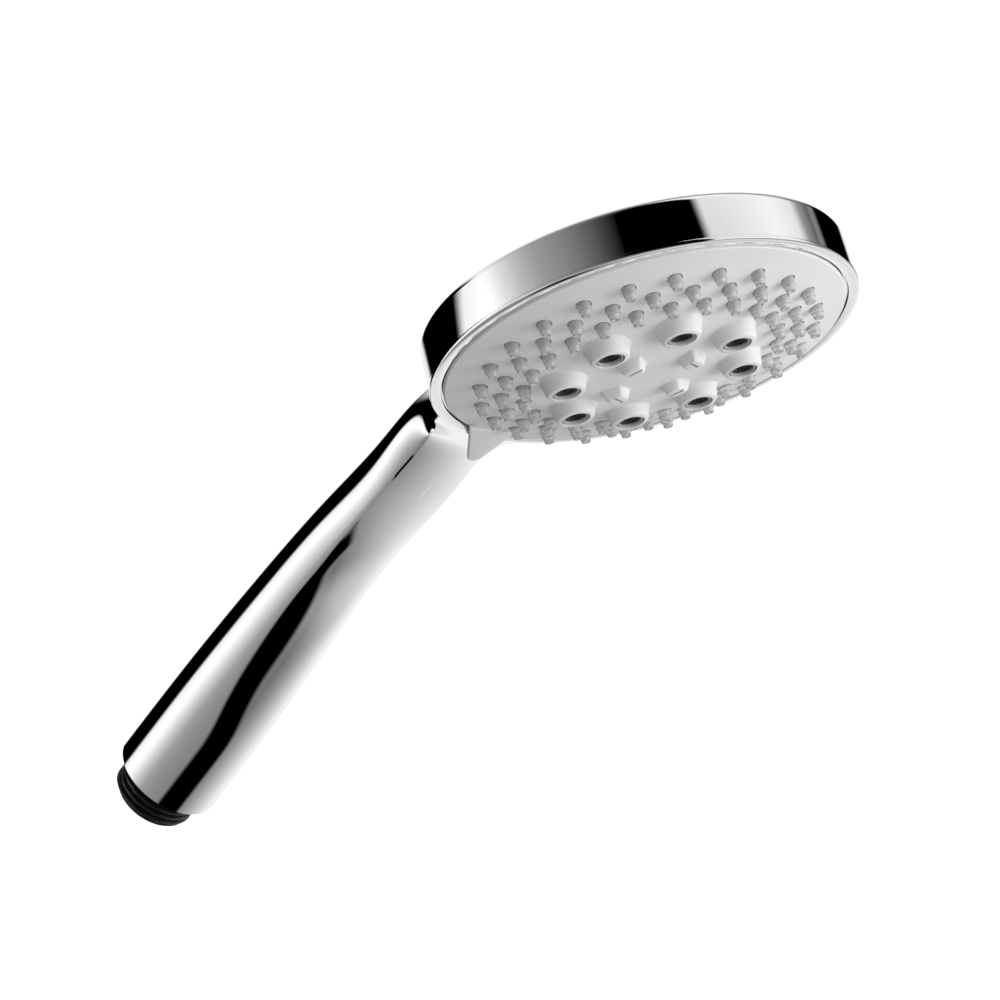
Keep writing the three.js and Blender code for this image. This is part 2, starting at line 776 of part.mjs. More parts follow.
// The way from the spigot to the slot that all three rotor ports pass over, with its seal's seat.
function inletBore() {
  const bore = alongDuct(outletFrom, spigotReach + 1, ductBore, smallSteps);
  const inner = stadium(outletHalf - 0.3, outletFrom + 0.3, outletTo - 0.3);
  const outlet = plate(inner, -ductAxis, baseFront + 1, 4);
  const sealWall = portSealWall + gap;
  const seat = stadium(outletHalf + sealWall, outletFrom - sealWall, outletTo + sealWall);
  return bore.add(outlet).add(plate(seat, baseFront - sealPocketDepth, baseFront + 1, 4));
}

function inletSealGroove() {
  const seat = spigotReach - inletSealInset;
  const ring = alongDuct(seat - sealHalf, seat + sealHalf, ductRadius + 1);
  return ring.subtract(alongDuct(seat - 2, seat + 2, bossSeal));
}

// Room for the water tube's end beside the duct.
function tubeRoom() {
  const half = tubeRadius + gap;
  const room = block([-half, half], [-headRadius, -(skirtBore - 1)], [-20, flangeFront + 1]);
  return room.subtract(inletDuct());
}

function detentBar(low, high, around) {
  return moved(bar(low, high, detentRadius + around, smallSteps), 0, detentCircle, 0);
}

function inletOring() {
  const ring = oRing(bossSeal + sealThick + 0.05, sealThick, 0).rotate([90, 0, 0]);
  return moved(ring, 0, -spigotReach + inletSealInset, -ductAxis);
}

function detentPlunger() {
  const tip = rotorBack + 0.5;
  const low = tip - detentLength;
  return turned([
    [0, low],
    [detentRadius, low],
    [detentRadius, tip - 1.1],
    [detentRadius * 0.75, tip - 0.4],
    [0, tip],
  ], smallSteps);
}

function detentSpring() {
  const low = baseFront - detentPocket + 0.1;
  const high = rotorBack + 0.5 - detentLength - 0.1;
  return spring(detentRadius - 0.35, 0.25, low, high, 3.5, 8);
}

// Water tube

// From the hose connection's spigot up the handle and over to the base's spigot.
function waterTube() {
  const top = (reach, behind) => new THREE.Vector3(0, -reach, -behind).applyMatrix4(headMatrix);
  const path = new THREE.CatmullRomCurve3([
    new THREE.Vector3(0, 0, tubeFoot),
    new THREE.Vector3(0, 0, gripTop - 35),
    new THREE.Vector3(0, -neckShift * 0.2, gripTop),
    new THREE.Vector3(0, -neckShift * 0.6, gripTop + neckLength * 0.5),
    top(spigotReach + 3, ductAxis - 0.2),
    top(headRadius - 2.4, ductAxis),
  ]);
  const section = new THREE.Shape();
  section.absarc(0, 0, tubeRadius, 0, 2 * Math.PI);
  const bore = new THREE.Path();
  bore.absarc(0, 0, tubeBore, 0, 2 * Math.PI);
  section.holes.push(bore);
  return solid(new THREE.ExtrudeGeometry(section, { steps: 20, extrudePath: path, curveSegments: 6 }));
}

// Hose connection

// Ring-shaped thread crests up to the chrome, a plug inside the handle and a spigot for the tube.
function nipple() {
  const crests = [];
  const count = Math.floor((threadLength - 1.4) / threadPitch);
  for (let i = 0; i < count; i++) {
    const low = 0.5 + i * threadPitch;
    crests.push([threadRoot, low], [threadRadius, low + threadPitch * 0.38]);
    crests.push([threadRadius, low + threadPitch * 0.62]);
  }
  const sealLow = plugSealHeight - plugSealCord - 0.1;
  const sealHigh = plugSealHeight + plugSealCord + 0.1;
  const sealRoot = plugRadius + gap - 2 * plugSealCord;
  return turned([
    [nippleBore, 0],
    [threadRoot - 0.3, 0],
    ...crests,
    [threadRoot, chromeEnd - 0.9],
    [plugRadius, chromeEnd - 0.3],
    [plugRadius, sealLow],
    [sealRoot - 0.1, sealLow],
    [sealRoot - 0.1, sealHigh],
    [plugRadius, sealHigh],
    [plugRadius, plugTop],
    [ductRadius, plugTop],
    [ductRadius, tubeSealHeight - sealHalf],
    [bossSeal, tubeSealHeight - sealHalf],
    [bossSeal, tubeSealHeight + sealHalf],
    [ductRadius, tubeSealHeight + sealHalf],
    [ductRadius, spigotTop],
    [ductBore, spigotTop],
    [ductBore, nippleDepth + 1],
    [nippleBore, nippleDepth],
  ], 24);
}

function nippleOring() {
  return oRing(plugRadius + gap - plugSealCord - 0.1, plugSealCord - 0.05, plugSealHeight, 20, 5);
}

function tubeOring() {
  return oRing(bossSeal + sealThick + 0.05, sealThick, tubeSealHeight);
}

// A disc with a ring of small water passages round a middle pillar.
function flowLimiter() {
  const low = mouthDepth;
  const disc = turned([
    [0, low + 0.5],
    [1.6, low],
    [3, low + 0.6],
    [5, low + 0.6],
    [nippleBore - gap, low],
    [nippleBore - gap, low + limiterHeight],
    [0, low + limiterHeight],
  ], 20);
  const passage = bar(low - 1, low + limiterHeight + 1, 0.7, 6);
  return disc.subtract(ringOf(passage, 4, 6, 0));
}

function checkValveBody() {
  const outside = nippleBore - gap;
  const wall = 1.2;
  const shell = turned([
    [2.6, valveLow],
    [outside, valveLow],
    [outside, valveLow + 4],
    [outside - 0.8, valveLow + 4.1],
    [outside - 0.8, valveLow + 5.6],
    [outside, valveLow + 5.7],
    [outside, valveHigh],
    [outside - wall, valveHigh],
    [outside - wall, valveSeat + 1.6],
    [2.6, valveSeat],
  ], 20);
  const bridge = bar(valveHigh - 1.2, valveHigh, outside - wall / 2, 20)
    .subtract(wasm.Manifold.union([0, 120, 240].map((degrees) => {
      return spun(moved(bar(valveHigh - 2, valveHigh + 1, 1.1, 8), 3.2, 0, 0), degrees);
    })))
    .subtract(bar(valveHigh - 2, valveHigh + 1, 1 + runGap, smallSteps));
  return shell.add(bridge);
}

function valveOring() {
  return oRing(nippleBore - 0.65, 0.4, valveLow + 4.85);
}

// A cone head that lifts off its seat, on a stem guided by the body's bridge.
function checkValvePoppet() {
  const head = valveSeat + 0.45;
  return turned([
    [0, valveSeat - 0.6],
    [2.2, head - 0.2],
    [3.9, head + 1],
    [3.9, head + 1.8],
    [1, head + 2.2],
    [1, valveHigh - 0.3],
    [0, valveHigh - 0.3],
  ], 14);
}

function checkValveSpring() {
  return spring(2.1, 0.3, valveSeat + 2.75, valveHigh - 1.35, 4, 9);
}

// The whole part

const part = new THREE.Group();
const head = new THREE.Group();
head.applyMatrix4(headMatrix);
part.add(head);

part.add(meshOf("body_shell", bodyShell(), chrome));
head.add(meshOf("face_bezel", faceBezel(), chrome));
head.add(meshOf("spray_face", sprayFace(), whitePlastic));
head.add(meshOf("nozzle_mat", nozzleMat(), silicone));
for (let i = 0; i < jetCount; i++) {
  const insert = meshOf(`jet_insert_${i + 1}`, jetInsert(), darkInsert);
  const degrees = rad(jetTurn + i * 360 / jetCount);
  insert.position.set(jetCircle * Math.cos(degrees), jetCircle * Math.sin(degrees), 0);
  head.add(insert);
}
head.add(meshOf("rotor", rotor(), greyPlastic));
for (let i = 0; i < 4; i++) {
  const screw = meshOf(`rotor_screw_${i + 1}`, rotorScrew(), steel);
  const degrees = rad(jetTurn + 180 / jetCount + i * 90);
  screw.position.set(jetCircle * Math.cos(degrees), jetCircle * Math.sin(degrees), 0);
  head.add(screw);
}
head.add(meshOf("centre_screw", centreScrew(), steel));
head.add(meshOf("screw_washer", screwWasher(), steel));
head.add(meshOf("port_seal", portSeal(), rubber));
head.add(meshOf("engine_base", engineBase(), naturalPlastic));
head.add(meshOf("inlet_oring", inletOring(), rubber));

const plunger = meshOf("detent_plunger", detentPlunger(), naturalPlastic);
const plungerSpring = meshOf("detent_spring", detentSpring(), steel);
for (const piece of [plunger, plungerSpring]) {
  piece.position.y = detentCircle;
  head.add(piece);
}

part.add(meshOf("water_tube", waterTube(), naturalPlastic));
part.add(meshOf("tube_oring", tubeOring(), rubber));
part.add(meshOf("nipple", nipple(), blackPlastic));
part.add(meshOf("nipple_oring", nippleOring(), rubber));
part.add(meshOf("flow_limiter", flowLimiter(), greyPlastic));
part.add(meshOf("check_valve_body", checkValveBody(), naturalPlastic));
part.add(meshOf("valve_oring", valveOring(), rubber));
part.add(meshOf("check_valve_poppet", checkValvePoppet(), greyPlastic));
part.add(meshOf("check_valve_spring", checkValveSpring(), steel));

export default part;
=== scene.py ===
import json
import math

import bpy
import numpy as np
from mathutils import Matrix, Vector


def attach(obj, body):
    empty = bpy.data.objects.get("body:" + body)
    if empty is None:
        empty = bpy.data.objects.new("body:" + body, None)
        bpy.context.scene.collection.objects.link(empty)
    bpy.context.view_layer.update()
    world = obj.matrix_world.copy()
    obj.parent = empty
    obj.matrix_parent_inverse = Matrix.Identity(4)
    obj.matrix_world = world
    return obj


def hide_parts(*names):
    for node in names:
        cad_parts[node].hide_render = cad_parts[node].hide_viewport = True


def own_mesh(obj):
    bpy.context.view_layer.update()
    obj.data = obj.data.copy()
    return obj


# Handheld shower head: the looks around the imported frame.
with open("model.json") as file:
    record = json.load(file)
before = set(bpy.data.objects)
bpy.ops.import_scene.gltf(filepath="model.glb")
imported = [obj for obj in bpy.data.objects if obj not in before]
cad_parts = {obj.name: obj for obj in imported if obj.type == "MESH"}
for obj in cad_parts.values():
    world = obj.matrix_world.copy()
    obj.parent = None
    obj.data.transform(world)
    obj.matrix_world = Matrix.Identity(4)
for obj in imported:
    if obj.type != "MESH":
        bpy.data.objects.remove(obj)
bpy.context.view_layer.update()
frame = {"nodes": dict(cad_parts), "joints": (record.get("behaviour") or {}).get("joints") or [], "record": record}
mm = 0.001

# The head has its own frame: x across, y up the face away from the handle, z the way it sprays.
sprayJoint = next(joint for joint in frame["joints"] if joint["name"] == "spray_turn")
sprayWay = Vector(sprayJoint["axis"]).normalized()
acrossWay = Vector((1, 0, 0))
headAxes = Matrix((acrossWay, sprayWay.cross(acrossWay), sprayWay)).transposed().to_4x4()
headPlace = Matrix.Translation(Vector(sprayJoint["pos_m"])) @ headAxes

# Sizes that several pieces share, in mm and degrees
shared = {
    "wallRadius": 47.7, "faceRadius": 45.0, "faceRise": 6.9, "faceSphere": 148.0, "faceWall": 1.6, "gap": 0.3,
    "jetCircle": 20.43, "jetCount": 8, "jetTurn": 30, "jetRadius": 2.9,
    "nozzleRings": (37.55, 33.07, 28.5), "nozzlesPerRing": 24, "handleTurn": -90,
    "chromeEnd": 9.5, "headDepth": 11.9, "backRise": 8.1, "shellWall": 2.0,
}


def faceAt(r):
    return shared["faceRise"] - r * r / (2 * shared["faceSphere"])


# Tools for making shapes

def clearSelection():
    if bpy.context.object and bpy.context.object.mode != "OBJECT":
        bpy.ops.object.mode_set(mode="OBJECT")
    bpy.ops.object.select_all(action="DESELECT")


def pick(*pieces):
    clearSelection()
    for piece in pieces:
        piece.select_set(True)
    bpy.context.view_layer.objects.active = pieces[0]


def startRing(name, radius, height, sides):
    clearSelection()
    bpy.ops.mesh.primitive_circle_add(vertices=sides, radius=radius * mm, location=(0, 0, 0))
    piece = bpy.context.object
    piece.name = piece.data.name = name
    bpy.ops.object.mode_set(mode="EDIT")
    bpy.ops.mesh.select_all(action="SELECT")
    bpy.ops.transform.translate(value=(0, 0, height * mm))
    return piece


def closeMesh(fill=True):
    bpy.ops.mesh.select_all(action="SELECT")
    bpy.ops.mesh.remove_doubles(threshold=2e-6)
    if fill:
        bpy.ops.mesh.select_all(action="DESELECT")
        bpy.ops.mesh.select_non_manifold()
        bpy.ops.mesh.fill_holes(sides=0)
        bpy.ops.mesh.select_all(action="SELECT")
    bpy.ops.mesh.normals_make_consistent(inside=False)
    bpy.ops.object.mode_set(mode="OBJECT")


# A round piece: one ring extruded and resized from point to point of its profile.
def turnProfile(name, profile, sides):
    radius, height = profile[0]
    piece = startRing(name, radius, height, sides)
    for nextRadius, nextHeight in profile[1:]:
        step = {"value": (0, 0, (nextHeight - height) * mm)}
        bpy.ops.mesh.extrude_region_move(TRANSFORM_OT_translate=step)
        scale = nextRadius / radius
        bpy.ops.transform.resize(value=(scale, scale, 1), center_override=(0, 0, 0))
        radius, height = nextRadius, nextHeight
    closeMesh()
    return piece


# A flat outline pulled up between two heights.
def pullOutline(name, outline, low, high):
    clearSelection()
    bpy.ops.mesh.primitive_circle_add(vertices=len(outline), radius=mm, fill_type="NGON")
    piece = bpy.context.object
    piece.name = piece.data.name = name
    for corner, (x, y) in zip(piece.data.vertices, outline):
        corner.co = (x * mm, y * mm, low * mm)
    bpy.ops.object.mode_set(mode="EDIT")
    bpy.ops.mesh.select_all(action="SELECT")
    step = {"value": (0, 0, (high - low) * mm)}
    bpy.ops.mesh.extrude_region_move(TRANSFORM_OT_translate=step)
    closeMesh(fill=False)
    return piece


def copyTo(piece, matrix):
    twin = piece.copy()
    twin.data = piece.data.copy()
    bpy.context.scene.collection.objects.link(twin)
    twin.data.transform(matrix)
    return twin


# Copies round the axis. The first piece is used up.
def ringOf(piece, radius, count, startDegrees):
    copies = []
    for i in range(count):
        turn = Matrix.Rotation(math.radians(startDegrees + i * 360 / count), 4, "Z")
        copies.append(copyTo(piece, turn @ Matrix.Translation((radius * mm, 0, 0))))
    bpy.data.objects.remove(piece)
    return copies


def joinUp(pieces):
    pick(*pieces)
    if len(pieces) > 1:
        bpy.ops.object.join()
    return bpy.context.object


def combine(piece, tool, way):
    pick(piece)
    modifier = piece.modifiers.new("combine", "BOOLEAN")
    modifier.operation = way
    modifier.solver = "EXACT"
    modifier.object = tool
    bpy.ops.object.modifier_apply(modifier=modifier.name)
    bpy.data.objects.remove(tool)
    return piece


def roundEdges(piece, width, segments, degrees=40):
    pick(piece)
    modifier = piece.modifiers.new("round", "BEVEL")
    modifier.width = width * mm
    modifier.segments = segments
    modifier.limit_method = "ANGLE"
    modifier.angle_limit = math.radians(degrees)
    bpy.ops.object.modifier_apply(modifier=modifier.name)
    return piece


def smoothBy(piece, degrees):
    pick(piece)
    bpy.ops.object.shade_smooth_by_angle(angle=math.radians(degrees))
    return piece


# A finished piece gets its material and its body, and the CAD nodes it stands for are hidden.
def settle(piece, materials, body, slot, *nodes):
    piece.data.materials.clear()
    for material in materials:
        piece.data.materials.append(material)
    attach(piece, body)
    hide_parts(*nodes)
    print("made", piece.name, len(piece.data.polygons), "faces")
    return piece


# Shader node groups: effects that several finishes use

def newGroup(name, inputs, outputs):
    group = bpy.data.node_groups.new(name, "ShaderNodeTree")
    for socketName, default in inputs:
        socket = group.interface.new_socket(socketName, in_out="INPUT", socket_type="NodeSocketFloat")
        socket.default_value = default
    for socketName, kind in outputs:
        group.interface.new_socket(socketName, in_out="OUTPUT", socket_type=kind)
    return group, group.nodes.new("NodeGroupInput"), group.nodes.new("NodeGroupOutput")


def noiseNode(tree, scale=None, detail=3, roughness=0.5):
    node = tree.nodes.new("ShaderNodeTexNoise")
    node.inputs["Detail"].default_value = detail
    node.inputs["Roughness"].default_value = roughness
    if scale:
        node.inputs["Scale"].default_value = scale
    return node


def mathNode(tree, operation, first, second=0.0, clamp=False):
    node = tree.nodes.new("ShaderNodeMath")
    node.operation = operation
    node.use_clamp = clamp
    for socket, value in zip(node.inputs, (first, second)):
        if isinstance(value, bpy.types.NodeSocket):
            tree.links.new(value, socket)
        else:
            socket.default_value = value
    return node.outputs[0]


def rangeNode(tree, value, fromLow, fromHigh, low, high, smooth=False):
    node = tree.nodes.new("ShaderNodeMapRange")
    node.interpolation_type = "SMOOTHSTEP" if smooth else "LINEAR"
    tree.links.new(value, node.inputs["Value"])
    for name, bound in (("From Min", fromLow), ("From Max", fromHigh), ("To Min", low), ("To Max", high)):
        if isinstance(bound, bpy.types.NodeSocket):
            tree.links.new(bound, node.inputs[name])
        else:
            node.inputs[name].default_value = bound
    return node.outputs["Result"]


# Fine skin of a moulded or plated surface: a height for Bump, and a slow drift of shade and gloss.
def makeMouldSkin():
    inputs = (("Grain Scale", 2500.0), ("Drift Scale", 60.0), ("Drift Low", 0.97),
              ("Gloss Low", 0.4), ("Gloss High", 0.5))
    outputs = (("Height", "NodeSocketFloat"), ("Shade", "NodeSocketFloat"), ("Gloss", "NodeSocketFloat"))
    group, source, sink = newGroup("mouldSkin", inputs, outputs)
    place = group.nodes.new("ShaderNodeTexCoord")
    grain = noiseNode(group, detail=4, roughness=0.6)
    drift = noiseNode(group, detail=2)
    for node, scale in ((grain, "Grain Scale"), (drift, "Drift Scale")):
        group.links.new(place.outputs["Object"], node.inputs["Vector"])
        group.links.new(source.outputs[scale], node.inputs["Scale"])
    shade = rangeNode(group, drift.outputs["Fac"], 0.35, 0.65, source.outputs["Drift Low"], 1.0, True)
    blend = mathNode(group, "ADD", mathNode(group, "MULTIPLY", grain.outputs["Fac"], 0.35),
                     mathNode(group, "MULTIPLY", drift.outputs["Fac"], 0.65))
    glossLow, glossHigh = source.outputs["Gloss Low"], source.outputs["Gloss High"]
    gloss = rangeNode(group, blend, 0.35, 0.65, glossLow, glossHigh, True)
    group.links.new(grain.outputs["Fac"], sink.inputs["Height"])
    group.links.new(shade, sink.inputs["Shade"])
    group.links.new(gloss, sink.inputs["Gloss"])
    return group


# Dried water spots and wiping marks: a mask that lifts roughness a little where it shows.
def makeWaterMarks():
    inputs = (("Spot Scale", 260.0), ("Wipe Scale", 45.0))
    group, source, sink = newGroup("waterMarks", inputs, (("Mask", "NodeSocketFloat"),))
    place = group.nodes.new("ShaderNodeTexCoord")
    stretch = group.nodes.new("ShaderNodeMapping")
    stretch.inputs["Scale"].default_value = (1.0, 1.0, 0.25)
    group.links.new(place.outputs["Object"], stretch.inputs["Vector"])
    spots = group.nodes.new("ShaderNodeTexVoronoi")
    group.links.new(place.outputs["Object"], spots.inputs["Vector"])
    group.links.new(source.outputs["Spot Scale"], spots.inputs["Scale"])
    wipes = noiseNode(group, detail=5, roughness=0.65)
    group.links.new(stretch.outputs["Vector"], wipes.inputs["Vector"])
    group.links.new(source.outputs["Wipe Scale"], wipes.inputs["Scale"])
    spotMask = rangeNode(group, spots.outputs["Distance"], 0.05, 0.16, 1.0, 0.0, True)
    wipeMask = rangeNode(group, wipes.outputs["Fac"], 0.48, 0.72, 0.0, 1.0, True)
    total = mathNode(group, "ADD", mathNode(group, "MULTIPLY", spotMask, wipeMask),
                     mathNode(group, "MULTIPLY", wipeMask, 0.5), clamp=True)
    group.links.new(total, sink.inputs["Mask"])
    return group


mouldSkin = makeMouldSkin()
waterMarks = makeWaterMarks()


def newMaterial(name):
    material = bpy.data.materials.new(name)
    material.use_nodes = True
    return material, material.node_tree, material.node_tree.nodes["Principled BSDF"]


def groupNode(tree, group, **values):
    node = tree.nodes.new("ShaderNodeGroup")
    node.node_tree = group
    for name, value in values.items():
        node.inputs[name.replace("_", " ")].default_value = value
    return node


def shadeColour(tree, colour, shade):
    node = tree.nodes.new("ShaderNodeMix")
    node.data_type = "RGBA"
    node.blend_type = "MULTIPLY"
    node.inputs["Factor"].default_value = 1.0
    node.inputs["A"].default_value = (*colour, 1)
    tree.links.new(shade, node.inputs["B"])
    return node.outputs["Result"]


def bumpFrom(tree, shader, height, depth):
    bump = tree.nodes.new("ShaderNodeBump")
    bump.inputs["Strength"].default_value = 1.0
    bump.inputs["Distance"].default_value = depth * mm
    tree.links.new(height, bump.inputs["Height"])
    tree.links.new(bump.outputs["Normal"], shader.inputs["Normal"])


# A moulded plastic, silicone or rubber.
def moulded(name, colour, look):
    material, tree, shader = newMaterial(name)
    skin = groupNode(tree, mouldSkin, Grain_Scale=look["grain"], Drift_Scale=look["drift"],
                     Drift_Low=look["driftLow"], Gloss_Low=look["gloss"][0], Gloss_High=look["gloss"][1])
    tree.links.new(shadeColour(tree, colour, skin.outputs["Shade"]), shader.inputs["Base Color"])
    tree.links.new(skin.outputs["Gloss"], shader.inputs["Roughness"])
    bumpFrom(tree, shader, skin.outputs["Height"], look["depth"])
    for socket, value in look.get("sockets", {}).items():
        shader.inputs[socket].default_value = value
    return material


# A bright metal, plated or plain.
def metallic(name, colour, look):
    material, tree, shader = newMaterial(name)
    skin = groupNode(tree, mouldSkin, Grain_Scale=look["grain"], Drift_Scale=look["drift"],
                     Drift_Low=look["driftLow"], Gloss_Low=look["gloss"][0], Gloss_High=look["gloss"][1])
    marks = groupNode(tree, waterMarks, Spot_Scale=look["spots"], Wipe_Scale=look["wipes"])
    tree.links.new(shadeColour(tree, colour, skin.outputs["Shade"]), shader.inputs["Base Color"])
    lifted = mathNode(tree, "MULTIPLY", marks.outputs["Mask"], look["marks"])
    tree.links.new(mathNode(tree, "ADD", skin.outputs["Gloss"], lifted), shader.inputs["Roughness"])
    bumpFrom(tree, shader, skin.outputs["Height"], look["depth"])
    shader.inputs["Metallic"].default_value = 1.0
    return material


plateLook = {"grain": 900.0, "drift": 35.0, "driftLow": 0.985, "gloss": (0.012, 0.028),
             "spots": 230.0, "wipes": 40.0, "marks": 0.025, "depth": 0.0004}
faceLook = {"grain": 3800.0, "drift": 55.0, "driftLow": 0.975, "gloss": (0.40, 0.52), "depth": 0.010}
siliconeLook = {"grain": 1500.0, "drift": 300.0, "driftLow": 0.93, "gloss": (0.04, 0.10), "depth": 0.003,
                "sockets": {"Transmission Weight": 0.62, "IOR": 1.41}}
insertLook = {"grain": 2500.0, "drift": 150.0, "driftLow": 0.85, "gloss": (0.22, 0.34), "depth": 0.003}
seatLook = {"grain": 2500.0, "drift": 150.0, "driftLow": 0.92, "gloss": (0.28, 0.38), "depth": 0.002}
blackLook = {"grain": 2200.0, "drift": 70.0, "driftLow": 0.8, "gloss": (0.30, 0.42), "depth": 0.006}
plainLook = {"grain": 2600.0, "drift": 60.0, "driftLow": 0.94, "gloss": (0.42, 0.58), "depth": 0.008}
steelLook = {"grain": 1800.0, "drift": 90.0, "driftLow": 0.93, "gloss": (0.20, 0.34),
             "spots": 700.0, "wipes": 160.0, "marks": 0.08, "depth": 0.002}
rubberLook = {"grain": 3200.0, "drift": 120.0, "driftLow": 0.8, "gloss": (0.62, 0.8), "depth": 0.012}

chromePlate = metallic("chromePlate", (0.965, 0.968, 0.97), plateLook)
facePlastic = moulded("facePlastic", (0.72, 0.722, 0.725), faceLook)
nozzleSilicone = moulded("nozzleSilicone", (0.93, 0.935, 0.94), siliconeLook)
jetPlastic = moulded("jetPlastic", (0.012, 0.012, 0.013), insertLook)
jetSeat = moulded("jetSeat", (0.42, 0.42, 0.43), seatLook)
blackPlastic = moulded("blackPlastic", (0.008, 0.008, 0.009), blackLook)
greyPlastic = moulded("greyPlastic", (0.30, 0.31, 0.32), plainLook)
naturalPlastic = moulded("naturalPlastic", (0.78, 0.77, 0.73), plainLook)
innerSteel = metallic("innerSteel", (0.62, 0.63, 0.64), steelLook)
sealRubber = moulded("sealRubber", (0.018, 0.018, 0.02), rubberLook)

# Every CAD node gets its slot's finish. The pieces below stand for the visible ones.
finishes = {
    "chrome_plate": chromePlate, "face_plastic": facePlastic, "nozzle_silicone": nozzleSilicone,
    "jet_insert": jetPlastic, "grey_plastic": greyPlastic, "natural_plastic": naturalPlastic,
    "black_plastic": blackPlastic, "steel": innerSteel, "seal_rubber": sealRubber,
}
for subpart in frame["record"]["subparts"]:
    node = frame["nodes"][subpart["node"]]
    node.data.materials.clear()
    node.data.materials.append(finishes[subpart["material_slot"]])
print("finishes ready")


# Body shell: the handle is lofted through stations, then joined to the drum

# Each station: spine point (y, z) or (reach, behind) in the head, half width, depth behind and in front
# of the spine, how strong the front's creases are, how many degrees they sit in front of the sides,
# how far the web between them bulges, and how far the creases flare out past the half width.
handle = {
    "grip": ((0.0, 9.5, 13.4, 13.4, 13.4, 0.0, 26, 7.5, 0.0),
             (0.0, 39.4, 13.05, 13.05, 13.05, 0.08, 26, 6.8, 0.0),
             (-0.1, 71.1, 12.0, 12.0, 12.1, 0.45, 26, 4.9, 0.0),
             (-1.1, 97.5, 11.3, 10.95, 11.6, 0.92, 26, 2.3, 0.0),
             (-3.2, 120.3, 11.5, 10.3, 10.5, 1.0, 26, 1.4, 0.0)),
    "head": ((54.1, 9.2, 13.7, 10.1, 11.0, 1.0, 26, 1.8, 0.6),
             (49.0, 7.7, 14.8, 11.6, 10.9, 1.0, 26, 1.5, 3.2),
             (43.5, 6.0, 16.6, 13.2, 10.3, 1.0, 26, 0.9, 8.0),
             (30.0, 5.8, 18.6, 13.1, 9.0, 1.0, 26, 0.8, 7.0),
             (16.0, 8.0, 14.5, 10.6, 6.0, 0.6, 26, 0.8, 3.0),
             (4.0, 10.0, 9.0, 7.5, 4.0, 0.0, 26, 0.8, 0.0)),
    "rings": 150, "backSides": 56, "frontSides": 30, "creaseWidth": 0.7,
    "innerRings": 60, "innerShare": 0.80, "innerStart": 2.0,
    "mouthBelow": 2, "mouthAbove": 14.3, "mouthSides": 96,
}
drum = {"sides": 192, "rimRound": 1.7, "domeSteps": 10, "front": -1.26, "pocketRadius": 48.3,
        "rabbetDepth": 2.6, "rabbetRadius": 46.6, "clearOfFace": 20, "hollowTop": 10}


# A natural cubic curve through values at given places, read at new places.
def naturalCurve(places, values, at):
    places, values, at = np.array(places, float), np.array(values, float), np.array(at, float)
    steps, count = np.diff(places), len(places)
    system, right = np.eye(count), np.zeros(count)
    for i in range(1, count - 1):
        system[i, i - 1:i + 2] = steps[i - 1], 2 * (steps[i - 1] + steps[i]), steps[i]
        right[i] = 6 * ((values[i + 1] - values[i]) / steps[i] - (values[i] - values[i - 1]) / steps[i - 1])
    bends = np.linalg.solve(system, right)
    span = np.clip(np.searchsorted(places, at) - 1, 0, count - 2)
    step = steps[span]
    a, b = (places[span + 1] - at) / step, (at - places[span]) / step
    cubic = ((a ** 3 - a) * bends[span] + (b ** 3 - b) * bends[span + 1]) * step ** 2 / 6
    return a * values[span] + b * values[span + 1] + cubic


def handleStations():
    stations = [(y, z, *rest) for y, z, *rest in handle["grip"]]
    for reach, behind, *rest in handle["head"]:
        spot = headPlace @ Vector((0, -reach * mm, -behind * mm)) / mm
        stations.append((spot.y, spot.z, *rest))
    return np.array(stations)


# Angles round a section, with two close together in place of each crease, so that it is finely rounded.
def sectionAngles(corner, wide):
    half = handle["creaseWidth"] / 2 / max(wide, 1)
    back = np.linspace(-corner + half, math.pi + corner - half, handle["backSides"])
    front = np.linspace(math.pi + corner + half, 2 * math.pi - corner - half, handle["frontSides"])
    return np.concatenate((back, front))


def sectionPoint(angle, corner, wide, deepBack, deepFront, crease, bulge, flare):
    across, back = math.cos(angle), math.sin(angle)
    depth = deepBack if back > 0 else deepFront
    rounded = depth * back
    lift = (back + math.sin(corner)) / (0.55 + math.sin(corner))
    wide += flare * min(1.0, max(0.0, 1 - lift)) ** 2
    if back > -math.sin(corner):
        return wide * across, rounded
    share = min(1.0, abs(across) / math.cos(corner))
    flat = -depth * math.sin(corner) - bulge * (1 - share * share)
    return wide * across, rounded + (flat - rounded) * crease


def loftHandle(name, inset, share, count, start=0.0):
    stations = handleStations()
    spine = np.concatenate(([0], np.cumsum(np.linalg.norm(np.diff(stations[:, :2], axis=0), axis=1))))
    at = np.linspace(start, share * spine[-1], count)
    curves = [naturalCurve(spine, stations[:, column], at) for column in range(stations.shape[1])]
    slopeY, slopeZ = np.gradient(curves[0], at), np.gradient(curves[1], at)
    sides = handle["backSides"] + handle["frontSides"]
    piece = startRing(name, 1, 0, sides)
    bpy.ops.object.mode_set(mode="OBJECT")
    for row in range(count):
        if row:
            bpy.ops.object.mode_set(mode="EDIT")
            bpy.ops.mesh.extrude_region_move(TRANSFORM_OT_translate={"value": (0, 0, mm)})
            bpy.ops.object.mode_set(mode="OBJECT")
        y, z, wide, deepBack, deepFront, crease, corner, bulge, flare = (curve[row] for curve in curves)
        corner = math.radians(corner)
        backWay = Vector((0, slopeZ[row], -slopeY[row])).normalized()
        ring = [vertex for vertex in piece.data.vertices if vertex.select]
        ring.sort(key=lambda vertex: vertex.index)
        sizes = (wide - inset, deepBack - inset, deepFront - inset, crease, bulge - inset * 0.2, flare)
        for vertex, angle in zip(ring, sectionAngles(corner, wide)):
            across, back = sectionPoint(angle, corner, *sizes)
            vertex.co = (Vector((across, y, z)) + backWay * back) * mm
    bpy.ops.object.mode_set(mode="EDIT")
    closeMesh()
    return piece


